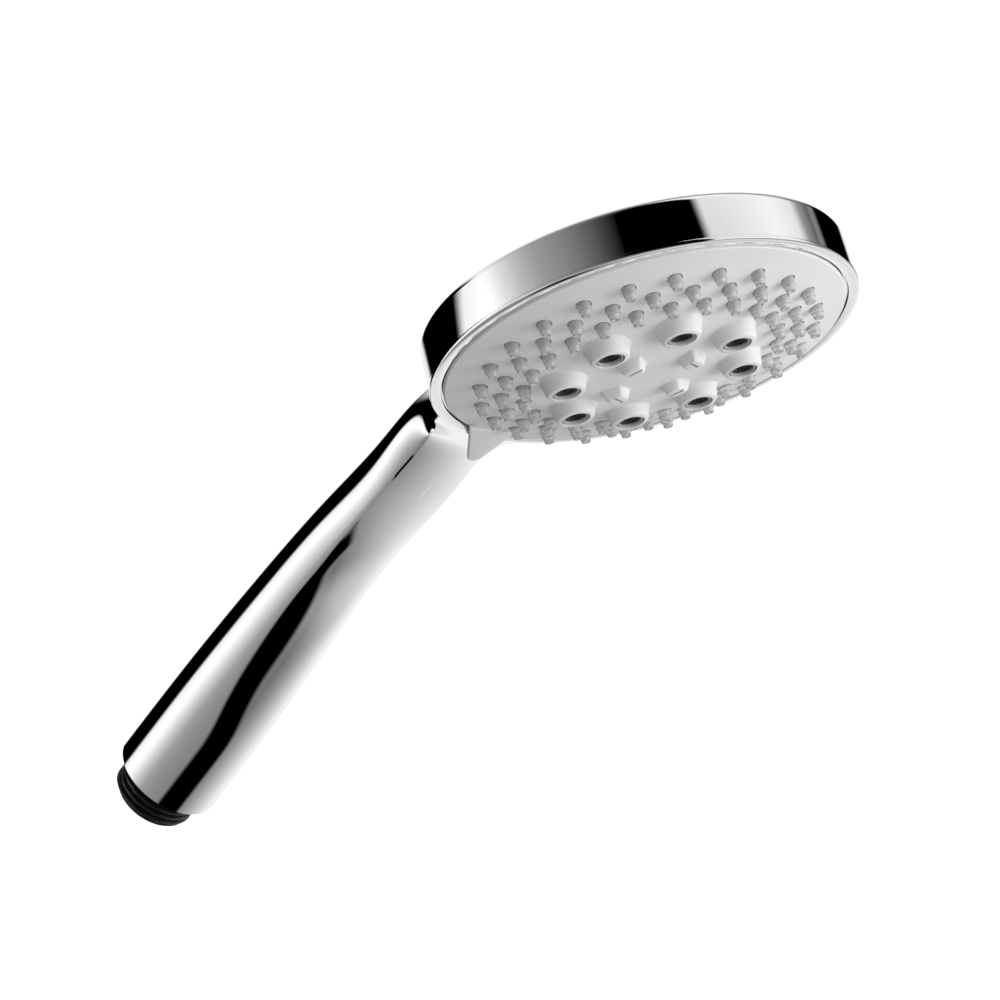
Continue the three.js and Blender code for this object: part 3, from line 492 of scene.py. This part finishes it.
def drumProfile(inset, front):
    edge = shared["wallRadius"] - drum["rimRound"]
    rim, rounding = shared["headDepth"] - inset, max(drum["rimRound"] - inset, 0.3)
    radius = shared["wallRadius"] - inset
    profile = []
    for i in range(1, drum["domeSteps"] + 1):
        r = (radius - rounding) * i / drum["domeSteps"]
        profile.append((r, -(rim + shared["backRise"] * (1 - (r / edge) ** 2))))
    for i in range(1, 8):
        turn = math.radians(90 * i / 7)
        height = -(rim - rounding + rounding * math.cos(turn))
        profile.append((radius - rounding + rounding * math.sin(turn), height))
    return [(0.4, -(rim + shared["backRise"])), *profile, (radius, front)]


def inHead(piece):
    piece.data.transform(headPlace)
    return piece


def makeBodyShell():
    shell = inHead(turnProfile("bodyShell", drumProfile(0, drum["front"]), drum["sides"]))
    combine(shell, loftHandle("handleOuter", 0, 1, handle["rings"]), "UNION")
    top = drum["clearOfFace"]
    facePocket = [(drum["pocketRadius"], drum["front"]), (drum["pocketRadius"], top)]
    rabbet = [(drum["rabbetRadius"], -drum["rabbetDepth"]), (drum["rabbetRadius"], top)]
    for tool in (facePocket, rabbet, drumProfile(shared["shellWall"], drum["hollowTop"])):
        combine(shell, inHead(turnProfile("hollow", tool, drum["sides"])), "DIFFERENCE")
    inner = loftHandle("handleInner", shared["shellWall"], handle["innerShare"], handle["innerRings"],
                       handle["innerStart"])
    combine(shell, inner, "DIFFERENCE")
    mouthRadius = handle["grip"][0][2] - shared["shellWall"]
    mouth = [(mouthRadius, shared["chromeEnd"] - handle["mouthBelow"]),
             (mouthRadius, shared["chromeEnd"] + handle["mouthAbove"])]
    combine(shell, turnProfile("mouth", mouth, handle["mouthSides"]), "DIFFERENCE")
    return smoothBy(shell, 32)


settle(makeBodyShell(), [chromePlate], "handset", "chrome_plate", "body_shell")


# Face bezel: the bright ring round the face and the skirt behind it
bezel = {
    "sides": 192, "skirtBore": 44.1, "skirtRadius": 45.4, "skirtBack": -8.0, "web": -1.0,
    "seatRadius": 46.3, "seatBack": -2.3, "lipBack": -1.2,
    "noseFlare": ((45.4, -0.45), (45.52, -0.16), (45.8, 0.0), (47.2, 0.0),
                  (47.62, -0.09), (47.88, -0.32), (48.0, -0.62)),
    "notchHalf": 6.6,
}


def makeBezel():
    b = bezel
    lip = [(47.92, b["lipBack"] + 0.15), (47.75, b["lipBack"]), (b["seatRadius"], b["lipBack"])]
    seat = [(b["seatRadius"], b["seatBack"]), (b["skirtRadius"], b["seatBack"])]
    skirt = [(b["skirtRadius"], b["skirtBack"]), (b["skirtBore"], b["skirtBack"]), (b["skirtBore"], b["web"])]
    nose = b["noseFlare"]
    profile = [*nose, *lip, *seat, *skirt, (nose[0][0], b["web"]), nose[0]]
    ring = turnProfile("faceBezel", profile, b["sides"])
    half = b["notchHalf"]
    outline = [(-half, -47.9), (half, -47.9), (half, -36), (-half, -36)]
    notch = pullOutline("notch", outline, b["skirtBack"] - 1, b["seatBack"] - 1)
    return smoothBy(inHead(combine(ring, notch, "DIFFERENCE")), 35)


settle(makeBezel(), [chromePlate], "handset", "chrome_plate", "face_bezel")


# Spray face: a thin dome with bosses for the jets and slits, holes for the nozzles, and the lever
face = {
    "sides": 160, "rings": (42, 38, 34, 30, 26, 22, 17, 12, 7, 3, 0.5), "edge": -0.6,
    "nozzleHole": 1.72, "holeSides": 16,
    "bossProfile": ((5.5, -0.25), (5.1, 0.1), (4.88, 0.5), (4.72, 1.0),
                    (4.5, 1.9), (4.36, 2.45), (4.15, 2.82), (3.8, 3.0)),
    "slotCircle": 9.6, "slotCount": 4, "slotTurn": 75, "slotHalf": (0.42, 1.85),
    "slotTop": 2.1, "slotTaper": 0.62,
    "wedge": ((-2.7, -2.6), (2.3, -3.6), (3.0, -1.9), (3.25, 0), (3.0, 1.9),
              (2.3, 3.6), (-2.7, 2.6), (-3.1, 1.3), (-3.3, 0), (-3.1, -1.3)),
    "leverTip": (-2.6, -53.2), "leverTipRadius": 1.8, "leverLong": (-15.6, -41.2), "leverShort": (-2.1, -40),
    "leverLow": 0.4, "leverThick": 1.3, "leverTipSteps": 12,
}


def makeFaceDome():
    wall = shared["faceWall"]
    front = [(r, faceAt(r)) for r in face["rings"]]
    back = [(r, faceAt(r) - wall) for r in reversed(face["rings"])]
    rim = shared["faceRadius"]
    edge = [(rim - 1.4, face["edge"]), (rim - 0.1, face["edge"]), (rim, face["edge"] + 0.1), (rim, -0.28),
            (rim - 0.1, -0.1), (rim - 0.35, faceAt(rim - 0.35) + 0.02)]
    return turnProfile("sprayFace", [*back, *edge, *front], face["sides"])


def jetBoss():
    height = faceAt(shared["jetCircle"])
    profile = [(r, height + z) for r, z in face["bossProfile"]]
    return turnProfile("boss", [(face["bossProfile"][0][0], height - 0.9), *profile], 48)


def slotBoss():
    height = faceAt(face["slotCircle"])
    boss = pullOutline("slotBoss", face["wedge"], height - 0.8, height + face["slotTop"])
    taper = face["slotTaper"]
    for vertex in boss.data.vertices:
        if vertex.co.z > height * mm:
            vertex.co.x *= taper
            vertex.co.y *= taper
    return roundEdges(boss, 0.5, 4, 20)


def leverFin():
    tipX, tipY = face["leverTip"]
    longX, longY = face["leverLong"]
    shortX, shortY = face["leverShort"]
    longSlope = math.atan2(tipX - longX, longY - tipY)
    shortSlope = math.atan2(shortX - tipX, shortY - tipY)
    outline = [face["leverShort"], face["leverLong"]]
    radius, steps = face["leverTipRadius"], face["leverTipSteps"]
    for i in range(steps + 1):
        turn = math.pi + longSlope + (math.pi + -shortSlope - longSlope) * i / steps
        outline.append((tipX + radius * math.cos(turn), tipY + radius * math.sin(turn)))
    fin = pullOutline("lever", outline, face["leverLow"], face["leverLow"] + face["leverThick"])
    return roundEdges(fin, 0.4, 3, 60)


# The boss stands straight while its foot follows the dome's slope.
def leanFoot(piece, circle, height, reach=2.0):
    slope = circle / shared["faceSphere"]
    for vertex in piece.data.vertices:
        share = min(1.0, max(0.0, (height + reach - vertex.co.z / mm) / reach))
        vertex.co.z -= slope * vertex.co.x * share
    return piece


def roundSlot(circle):
    half, long = face["slotHalf"]
    outline = []
    for i in range(9):
        turn = math.radians(180 * i / 8)
        outline.append((half * math.cos(turn), long - half + half * math.sin(turn)))
    for i in range(9):
        turn = math.radians(180 + 180 * i / 8)
        outline.append((half * math.cos(turn), -long + half + half * math.sin(turn)))
    return pullOutline("slot", outline, faceAt(circle) - 4, faceAt(circle) + 4)


def ringTurn(ring):
    return shared["handleTurn"] + (0 if ring == 1 else 7.5)


def makeSprayFace():
    dome = makeFaceDome()
    circle = shared["jetCircle"]
    boss = leanFoot(jetBoss(), circle, faceAt(circle))
    combine(dome, joinUp(ringOf(boss, circle, shared["jetCount"], shared["jetTurn"])), "UNION")
    wedge = leanFoot(slotBoss(), face["slotCircle"], faceAt(face["slotCircle"]), 1.0)
    combine(dome, joinUp(ringOf(wedge, face["slotCircle"], face["slotCount"], face["slotTurn"])), "UNION")
    combine(dome, leverFin(), "UNION")
    holeRadius = shared["jetRadius"] + shared["gap"]
    hole = turnProfile("hole", [(holeRadius, -5), (holeRadius, 14)], 48)
    holes = ringOf(hole, circle, shared["jetCount"], shared["jetTurn"])
    holes += ringOf(roundSlot(face["slotCircle"]), face["slotCircle"], face["slotCount"], face["slotTurn"])
    for ring, radius in enumerate(shared["nozzleRings"]):
        wide = face["nozzleHole"]
        small = turnProfile("nozzleHole", [(wide, -6), (wide, 12)], face["holeSides"])
        holes += ringOf(small, radius, shared["nozzlesPerRing"], ringTurn(ring))
    combine(dome, joinUp(holes), "DIFFERENCE")
    return smoothBy(inHead(dome), 30)


settle(makeSprayFace(), [facePlastic], "spray_selector", "face_plastic", "spray_face")


# Nozzle mat: a silicone sheet under the face with every nozzle standing on it
nozzle = {
    "sides": 18, "foot": -2.4, "height": 2.6,
    "profile": ((0.5, -1.5), (0.52, -0.1), (0.64, 0.0), (0.92, 0.0), (1.06, -0.06), (1.12, -0.2),
                (1.14, -0.85), (1.2, -1.02), (1.36, -1.1), (1.42, -1.24), (1.44, -2.2), (1.46, -2.7)),
    "sheet": (26.0, 42.0), "sheetWall": 1.0, "sheetSides": 144,
}


def makeNozzleMat():
    nozzles = []
    for ring, radius in enumerate(shared["nozzleRings"]):
        top = faceAt(radius) + nozzle["height"]
        profile = [(0.06, top - 1.5), *[(r, top + z) for r, z in nozzle["profile"]]]
        profile += [(1.46, faceAt(radius) + nozzle["foot"]), (0.06, faceAt(radius) + nozzle["foot"])]
        small = turnProfile("nozzle", profile, nozzle["sides"])
        nozzles += ringOf(small, radius, shared["nozzlesPerRing"], ringTurn(ring))
    inner, outer = nozzle["sheet"]
    under = [(r, faceAt(r) - shared["faceWall"] - shared["gap"]) for r in (inner, 30.8, 35.3, outer)]
    back = [(r, z - nozzle["sheetWall"]) for r, z in reversed(under)]
    sheet = turnProfile("nozzleMat", [*back, *under, back[0]], nozzle["sheetSides"])
    combine(sheet, joinUp(nozzles), "UNION")
    return smoothBy(inHead(sheet), 35)


settle(makeNozzleMat(), [nozzleSilicone], "spray_selector", "nozzle_silicone", "nozzle_mat")


# Jet inserts: a black plug with a pale ring let into its front
jet = {
    "sides": 40, "flange": 3.6, "flangeWall": 1.0, "top": 3.0,
    "front": ((2.9, -0.5), (2.87, -0.28), (2.76, -0.2), (2.64, -0.2), (2.55, -0.28), (2.5, -0.8),
              (2.2, -1.0), (1.4, -0.96), (1.22, -0.86), (1.08, -1.1), (0.9, -1.5), (0.42, -1.6)),
    "paleRing": (2.51, 2.89), "paleBack": 0.6, "bore": 0.42,
}


def makeJetInsert():
    base = faceAt(shared["jetCircle"])
    flangeFront = base - shared["faceWall"] - 2 * shared["gap"]
    back = flangeFront - jet["flangeWall"]
    front = [(r, base + jet["top"] + z) for r, z in jet["front"]]
    profile = [*front, (jet["bore"], back), (jet["flange"], back), (jet["flange"], flangeFront),
               (shared["jetRadius"], flangeFront), front[0]]
    insert = turnProfile("jetInsert", profile, jet["sides"])
    insert.data.materials.append(jetPlastic)
    insert.data.materials.append(jetSeat)
    low, high = jet["paleRing"]
    for patch in insert.data.polygons:
        reach = math.hypot(patch.center.x, patch.center.y) / mm
        if low < reach < high and patch.center.z / mm > base + jet["top"] - jet["paleBack"]:
            patch.material_index = 1
    return smoothBy(insert, 35)


inserts = ringOf(makeJetInsert(), shared["jetCircle"], shared["jetCount"], shared["jetTurn"])
for number, insert in enumerate(inserts, 1):
    insert.name = insert.data.name = "jetInsert" + str(number)
    inHead(insert)
    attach(insert, "spray_selector")
    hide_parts("jet_insert_" + str(number))
print("made jet inserts")


# Nipple: the threaded hose connection, with the plug that holds it in the handle
hose = {
    "sides": 72, "radius": 10.48, "root": 9.32, "pitch": 1.814, "length": 9.5, "rows": 60, "runOut": 1.0,
    "bore": 6.6, "duct": 4.4, "ductBore": 2.7, "plug": 11.1, "plugTop": 23.5, "spigotTop": 34.5,
    "boreDepth": 20.5,
    "plugGroove": (20.0, 0.9, 9.8), "tubeGroove": (30.5, 0.7, 3.4),
}


def threadRadiusAt(height, turn):
    phase = (height / hose["pitch"] - turn / (2 * math.pi)) % 1
    crest = min(1.0, max(0.0, 1.75 - abs(phase - 0.5) * 4.6))
    depth = hose["radius"] - hose["root"]
    fadeIn = min(1.0, max(0.0, height - 0.3) / hose["runOut"])
    fadeOut = min(1.0, max(0.0, hose["length"] - 0.9 - height) / 0.6)
    return hose["root"] + depth * crest * (fadeIn * fadeOut)


def makeNipple():
    h = hose
    last = h["length"] - 0.3
    rows = [(h["root"], 0.35 + (last - 0.35) * i / h["rows"]) for i in range(h["rows"] + 1)]
    grooves = []
    for radius, (middle, half, root) in ((h["plug"], h["plugGroove"]), (h["duct"], h["tubeGroove"])):
        low, high = middle - half, middle + half
        grooves.append([(radius, low), (root, low), (root, high), (radius, high)])
    foot = [(h["bore"] + 0.3, 0), (h["root"] - 0.35, 0), (h["root"] - 0.1, 0.12)]
    plug = [(h["plug"] - 0.2, last + 0.05), (h["plug"], last + 0.25), *grooves[0],
            (h["plug"], h["plugTop"] - 0.3), (h["plug"] - 0.3, h["plugTop"])]
    spigot = [(h["duct"], h["plugTop"]), *grooves[1], (h["duct"], h["spigotTop"] - 0.3),
              (h["duct"] - 0.3, h["spigotTop"])]
    inside = [(h["ductBore"], h["spigotTop"]), (h["ductBore"], h["boreDepth"] + 1),
              (h["bore"], h["boreDepth"]), (h["bore"], 0.3), (h["bore"] + 0.3, 0)]
    profile = [*foot, *rows, *plug, *spigot, *inside]
    piece = turnProfile("nipple", profile, h["sides"])
    for vertex in piece.data.vertices:
        reach, height = math.hypot(vertex.co.x, vertex.co.y) / mm, vertex.co.z / mm
        if abs(reach - h["root"]) < 0.02 and 0.3 < height < last + 0.01:
            scale = threadRadiusAt(height, math.atan2(vertex.co.y, vertex.co.x)) / reach
            vertex.co.x *= scale
            vertex.co.y *= scale
    return smoothBy(piece, 40)


settle(makeNipple(), [blackPlastic], "handset", "black_plastic", "nipple")


# Springs: coils for the poppet and the plunger, wound to fill each spring node's space
springs = {
    "check_valve_spring": {"radius": 2.1, "wire": 0.3, "turns": 4.5, "place": Matrix.Identity(4),
                           "joint": "check_valve_lift", "travel": 2.0, "fixedHigh": True},
    "detent_spring": {"radius": 1.45, "wire": 0.25, "turns": 4, "place": headPlace,
                      "joint": "detent_press", "travel": 0.6, "fixedHigh": False},
}


def makeSpring(node, look):
    toPlace = look["place"]
    corners = [toPlace.inverted() @ vertex.co for vertex in frame["nodes"][node].data.vertices]
    low = Vector([min(corner[i] for corner in corners) for i in range(3)])
    high = Vector([max(corner[i] for corner in corners) for i in range(3)])
    wire, length = look["wire"] * mm, high.z - low.z
    coil = startRing("coil", look["wire"], 0, 12)
    bpy.ops.transform.rotate(value=math.pi / 2, orient_axis="X", center_override=(0, 0, 0))
    bpy.ops.transform.translate(value=(look["radius"] * mm, 0, 0))
    bpy.ops.object.mode_set(mode="OBJECT")
    modifier = coil.modifiers.new("wind", "SCREW")
    modifier.angle = 2 * math.pi * look["turns"]
    modifier.screw_offset = length - 2 * wire
    modifier.steps = modifier.render_steps = int(22 * look["turns"])
    bpy.ops.object.modifier_apply(modifier=modifier.name)
    bpy.ops.object.mode_set(mode="EDIT")
    closeMesh()
    middle = (low + high) / 2
    coil.data.transform(toPlace @ Matrix.Translation((middle.x, middle.y, low.z + wire)))
    coil.name = coil.data.name = "".join(word.capitalize() for word in node.split("_"))
    smoothBy(coil, 60)
    settle(coil, [innerSteel], "handset", "steel", node)
    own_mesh(coil)


for node, look in springs.items():
    makeSpring(node, look)


# Floor, light and camera
studio = {
    "floorDrop": 0.32, "floorSize": 12.0, "floorShade": 0.93, "floorGlow": 0.3,
    "lightWay": (0.45, -0.32, 0.83), "softLight": (0.2, 1.0),
    "lampWay": (0.468, -0.602, 0.651), "lampDistance": 0.5, "lampSize": 0.42, "lampPower": 1.75,
    # Brightness up the tent's two sides: from 90 degrees below the horizon to 90 above
    "leftRise": ((0.36, 1.0), (0.417, 0.78), (0.472, 0.5), (0.528, 0.33), (0.6, 0.23),
                 (0.65, 0.15), (0.71, 0.05), (0.75, 0.0), (1.0, 0.0)),
    "rightRise": ((0.36, 0.85), (0.417, 0.84), (0.6, 0.5), (0.65, 0.12), (0.69, 0.3),
                  (0.72, 0.8), (0.8, 0.95), (0.9, 0.83), (1.0, 0.69)),
    "sideSwitch": (-0.13, -0.03),  # across, where the left side gives way to the right
    "upperFrom": (-27.0, -13.0), "slantFrom": (-33.0, -27.0),  # in degrees of elevation
    "aim": (9.956, -20.164, 129.477), "distance": 715.09, "lens": 112.1,
    "turn": -52.825, "rise": 27.683, "roll": 38.438,
    # The tent seen in the plating: brightness by direction round the object, in degrees from +X
    "tent": ((0, 0.9), (0.09, 0.9), (0.3, 0.9), (0.36, 0.95), (0.39, 1.1),
             (0.42, 1.0), (0.47, 0.64), (0.52, 0.36), (0.58, 0.27), (0.67, 0.22),
             (0.76, 0.17), (0.82, 0.3), (0.88, 0.5), (0.95, 0.75), (1.0, 0.9)),
}


def cardEdge(tree, value, low, high, soft):
    rising = rangeNode(tree, value, low - soft, low + soft, 0.0, 1.0, True)
    falling = rangeNode(tree, value, high - soft, high + soft, 1.0, 0.0, True)
    return mathNode(tree, "MULTIPLY", rising, falling)


# Dark cards hang in the tent: (azimuth from, to, softness, elevation from, to, softness, slant, darkness)
cards = (
    (60, 122, 5, -80, -22, 4, 0, 1.0),
    (8, 36, 4, -9, 22, 3, 0, 1.0),
    (237, 285, 5, -37.5, -8, 1.5, 27, 1.0),
)


def brightRamp(tree, place, points):
    ramp = tree.nodes.new("ShaderNodeValToRGB")
    tree.links.new(place, ramp.inputs["Fac"])
    stops = ramp.color_ramp.elements
    while len(stops) < len(points):
        stops.new(0.5)
    for stop, (spot, value) in zip(stops, points):
        stop.position = spot
        stop.color = (value, value, value, 1)
    return ramp.outputs["Color"]


def makeTent():
    world = bpy.data.worlds.new("tent")
    bpy.context.scene.world = world
    world.use_nodes = True
    tree = world.node_tree
    tree.nodes.clear()
    place = tree.nodes.new("ShaderNodeTexCoord")
    split = tree.nodes.new("ShaderNodeSeparateXYZ")
    tree.links.new(place.outputs["Generated"], split.inputs[0])
    x, y, z = split.outputs
    degrees = 180 / math.pi
    azimuth = mathNode(tree, "MULTIPLY", mathNode(tree, "ARCTAN2", y, x), degrees)
    azimuth = mathNode(tree, "FLOORED_MODULO", azimuth, 360.0)
    elevation = mathNode(tree, "MULTIPLY", mathNode(tree, "ARCSINE", z), degrees)
    around = brightRamp(tree, mathNode(tree, "DIVIDE", azimuth, 360.0), studio["tent"])
    rise = mathNode(tree, "DIVIDE", mathNode(tree, "ADD", elevation, 90.0), 180.0)
    upper = rangeNode(tree, elevation, *studio["upperFrom"], 0.0, 1.0, True)
    right = rangeNode(tree, x, *studio["sideSwitch"], 0.0, 1.0, True)
    left = mathNode(tree, "SUBTRACT", 1.0, right)
    rightPart = mathNode(tree, "MULTIPLY", right, brightRamp(tree, rise, studio["rightRise"]))
    leftPart = mathNode(tree, "MULTIPLY", left, brightRamp(tree, rise, studio["leftRise"]))
    overhead = mathNode(tree, "MULTIPLY", upper, mathNode(tree, "ADD", rightPart, leftPart))
    sides = mathNode(tree, "MULTIPLY", mathNode(tree, "SUBTRACT", 1.0, upper), around)
    level = mathNode(tree, "ADD", sides, overhead)
    for low, high, soft, lowRise, highRise, softRise, slant, dark in cards:
        turned = azimuth
        if slant:
            lean = rangeNode(tree, elevation, *studio["slantFrom"], 0.0, float(slant), True)
            turned = mathNode(tree, "ADD", azimuth, lean)
        across = cardEdge(tree, turned, low, high, soft)
        upright = cardEdge(tree, elevation, lowRise, highRise, softRise)
        mask = mathNode(tree, "MULTIPLY", across, upright)
        shade = mathNode(tree, "SUBTRACT", 1.0, mathNode(tree, "MULTIPLY", mask, dark))
        level = mathNode(tree, "MULTIPLY", level, shade)
    lean = tree.nodes.new("ShaderNodeVectorMath")
    lean.operation = "DOT_PRODUCT"
    tree.links.new(place.outputs["Generated"], lean.inputs[0])
    lean.inputs[1].default_value = studio["lightWay"]
    soft = rangeNode(tree, lean.outputs["Value"], -1.0, 1.0, *studio["softLight"])
    path = tree.nodes.new("ShaderNodeLightPath")
    lightWay = tree.nodes.new("ShaderNodeMix")
    lightWay.data_type = "FLOAT"
    tree.links.new(path.outputs["Is Diffuse Ray"], lightWay.inputs["Factor"])
    tree.links.new(level, lightWay.inputs["A"])
    tree.links.new(soft, lightWay.inputs["B"])
    seen = tree.nodes.new("ShaderNodeMix")
    seen.data_type = "FLOAT"
    tree.links.new(path.outputs["Is Camera Ray"], seen.inputs["Factor"])
    tree.links.new(lightWay.outputs["Result"], seen.inputs["A"])
    seen.inputs["B"].default_value = 1.0
    background = tree.nodes.new("ShaderNodeBackground")
    tree.links.new(seen.outputs["Result"], background.inputs["Color"])
    background.inputs["Strength"].default_value = 1.0
    sink = tree.nodes.new("ShaderNodeOutputWorld")
    tree.links.new(background.outputs["Background"], sink.inputs["Surface"])


# A broad soft lamp grazes the spray face from above.
def makeLamp():
    way = Vector(studio["lampWay"]).normalized()
    data = bpy.data.lights.new("softLamp", "AREA")
    data.shape = "DISK"
    data.size = studio["lampSize"]
    data.energy = studio["lampPower"]
    lamp = bpy.data.objects.new("softLamp", data)
    bpy.context.scene.collection.objects.link(lamp)
    spot = headPlace.translation + way * studio["lampDistance"]
    lamp.matrix_world = Matrix.Translation(spot) @ way.to_track_quat("Z", "Y").to_matrix().to_4x4()
    lamp.visible_glossy = False


def makeFloor():
    clearSelection()
    bpy.ops.mesh.primitive_plane_add(size=studio["floorSize"], location=(0, 0, 0))
    floor = bpy.context.object
    floor.name = floor.data.name = "floor"
    bpy.ops.object.mode_set(mode="EDIT")
    bpy.ops.mesh.select_all(action="SELECT")
    bpy.ops.transform.translate(value=(0, 0, -studio["floorDrop"]))
    bpy.ops.object.mode_set(mode="OBJECT")
    material, tree, shader = newMaterial("paleFloor")
    shade = studio["floorShade"]
    shader.inputs["Base Color"].default_value = (shade, shade, shade, 1)
    shader.inputs["Roughness"].default_value = 0.9
    shader.inputs["Emission Color"].default_value = (1, 1, 1, 1)
    shader.inputs["Emission Strength"].default_value = studio["floorGlow"]
    floor.data.materials.append(material)
    floor.visible_glossy = False
    floor.visible_diffuse = False


def makeCamera():
    turn, rise = math.radians(studio["turn"]), math.radians(studio["rise"])
    back = Vector((math.sin(turn) * math.cos(rise), -math.cos(turn) * math.cos(rise), math.sin(rise)))
    data = bpy.data.cameras.new("camera")
    data.lens = studio["lens"]
    data.sensor_width = 36.0
    data.clip_start = 0.01
    camera = bpy.data.objects.new("camera", data)
    bpy.context.scene.collection.objects.link(camera)
    facing = (-back).to_track_quat("-Z", "Y").to_matrix().to_4x4()
    spot = Vector(studio["aim"]) + back * studio["distance"]
    roll = Matrix.Rotation(math.radians(studio["roll"]), 4, "Z")
    camera.matrix_world = Matrix.Translation(spot * mm) @ facing @ roll
    bpy.context.scene.camera = camera


makeTent()
makeLamp()
makeFloor()
makeCamera()
bpy.context.scene.view_settings.view_transform = "Standard"
print("studio ready")
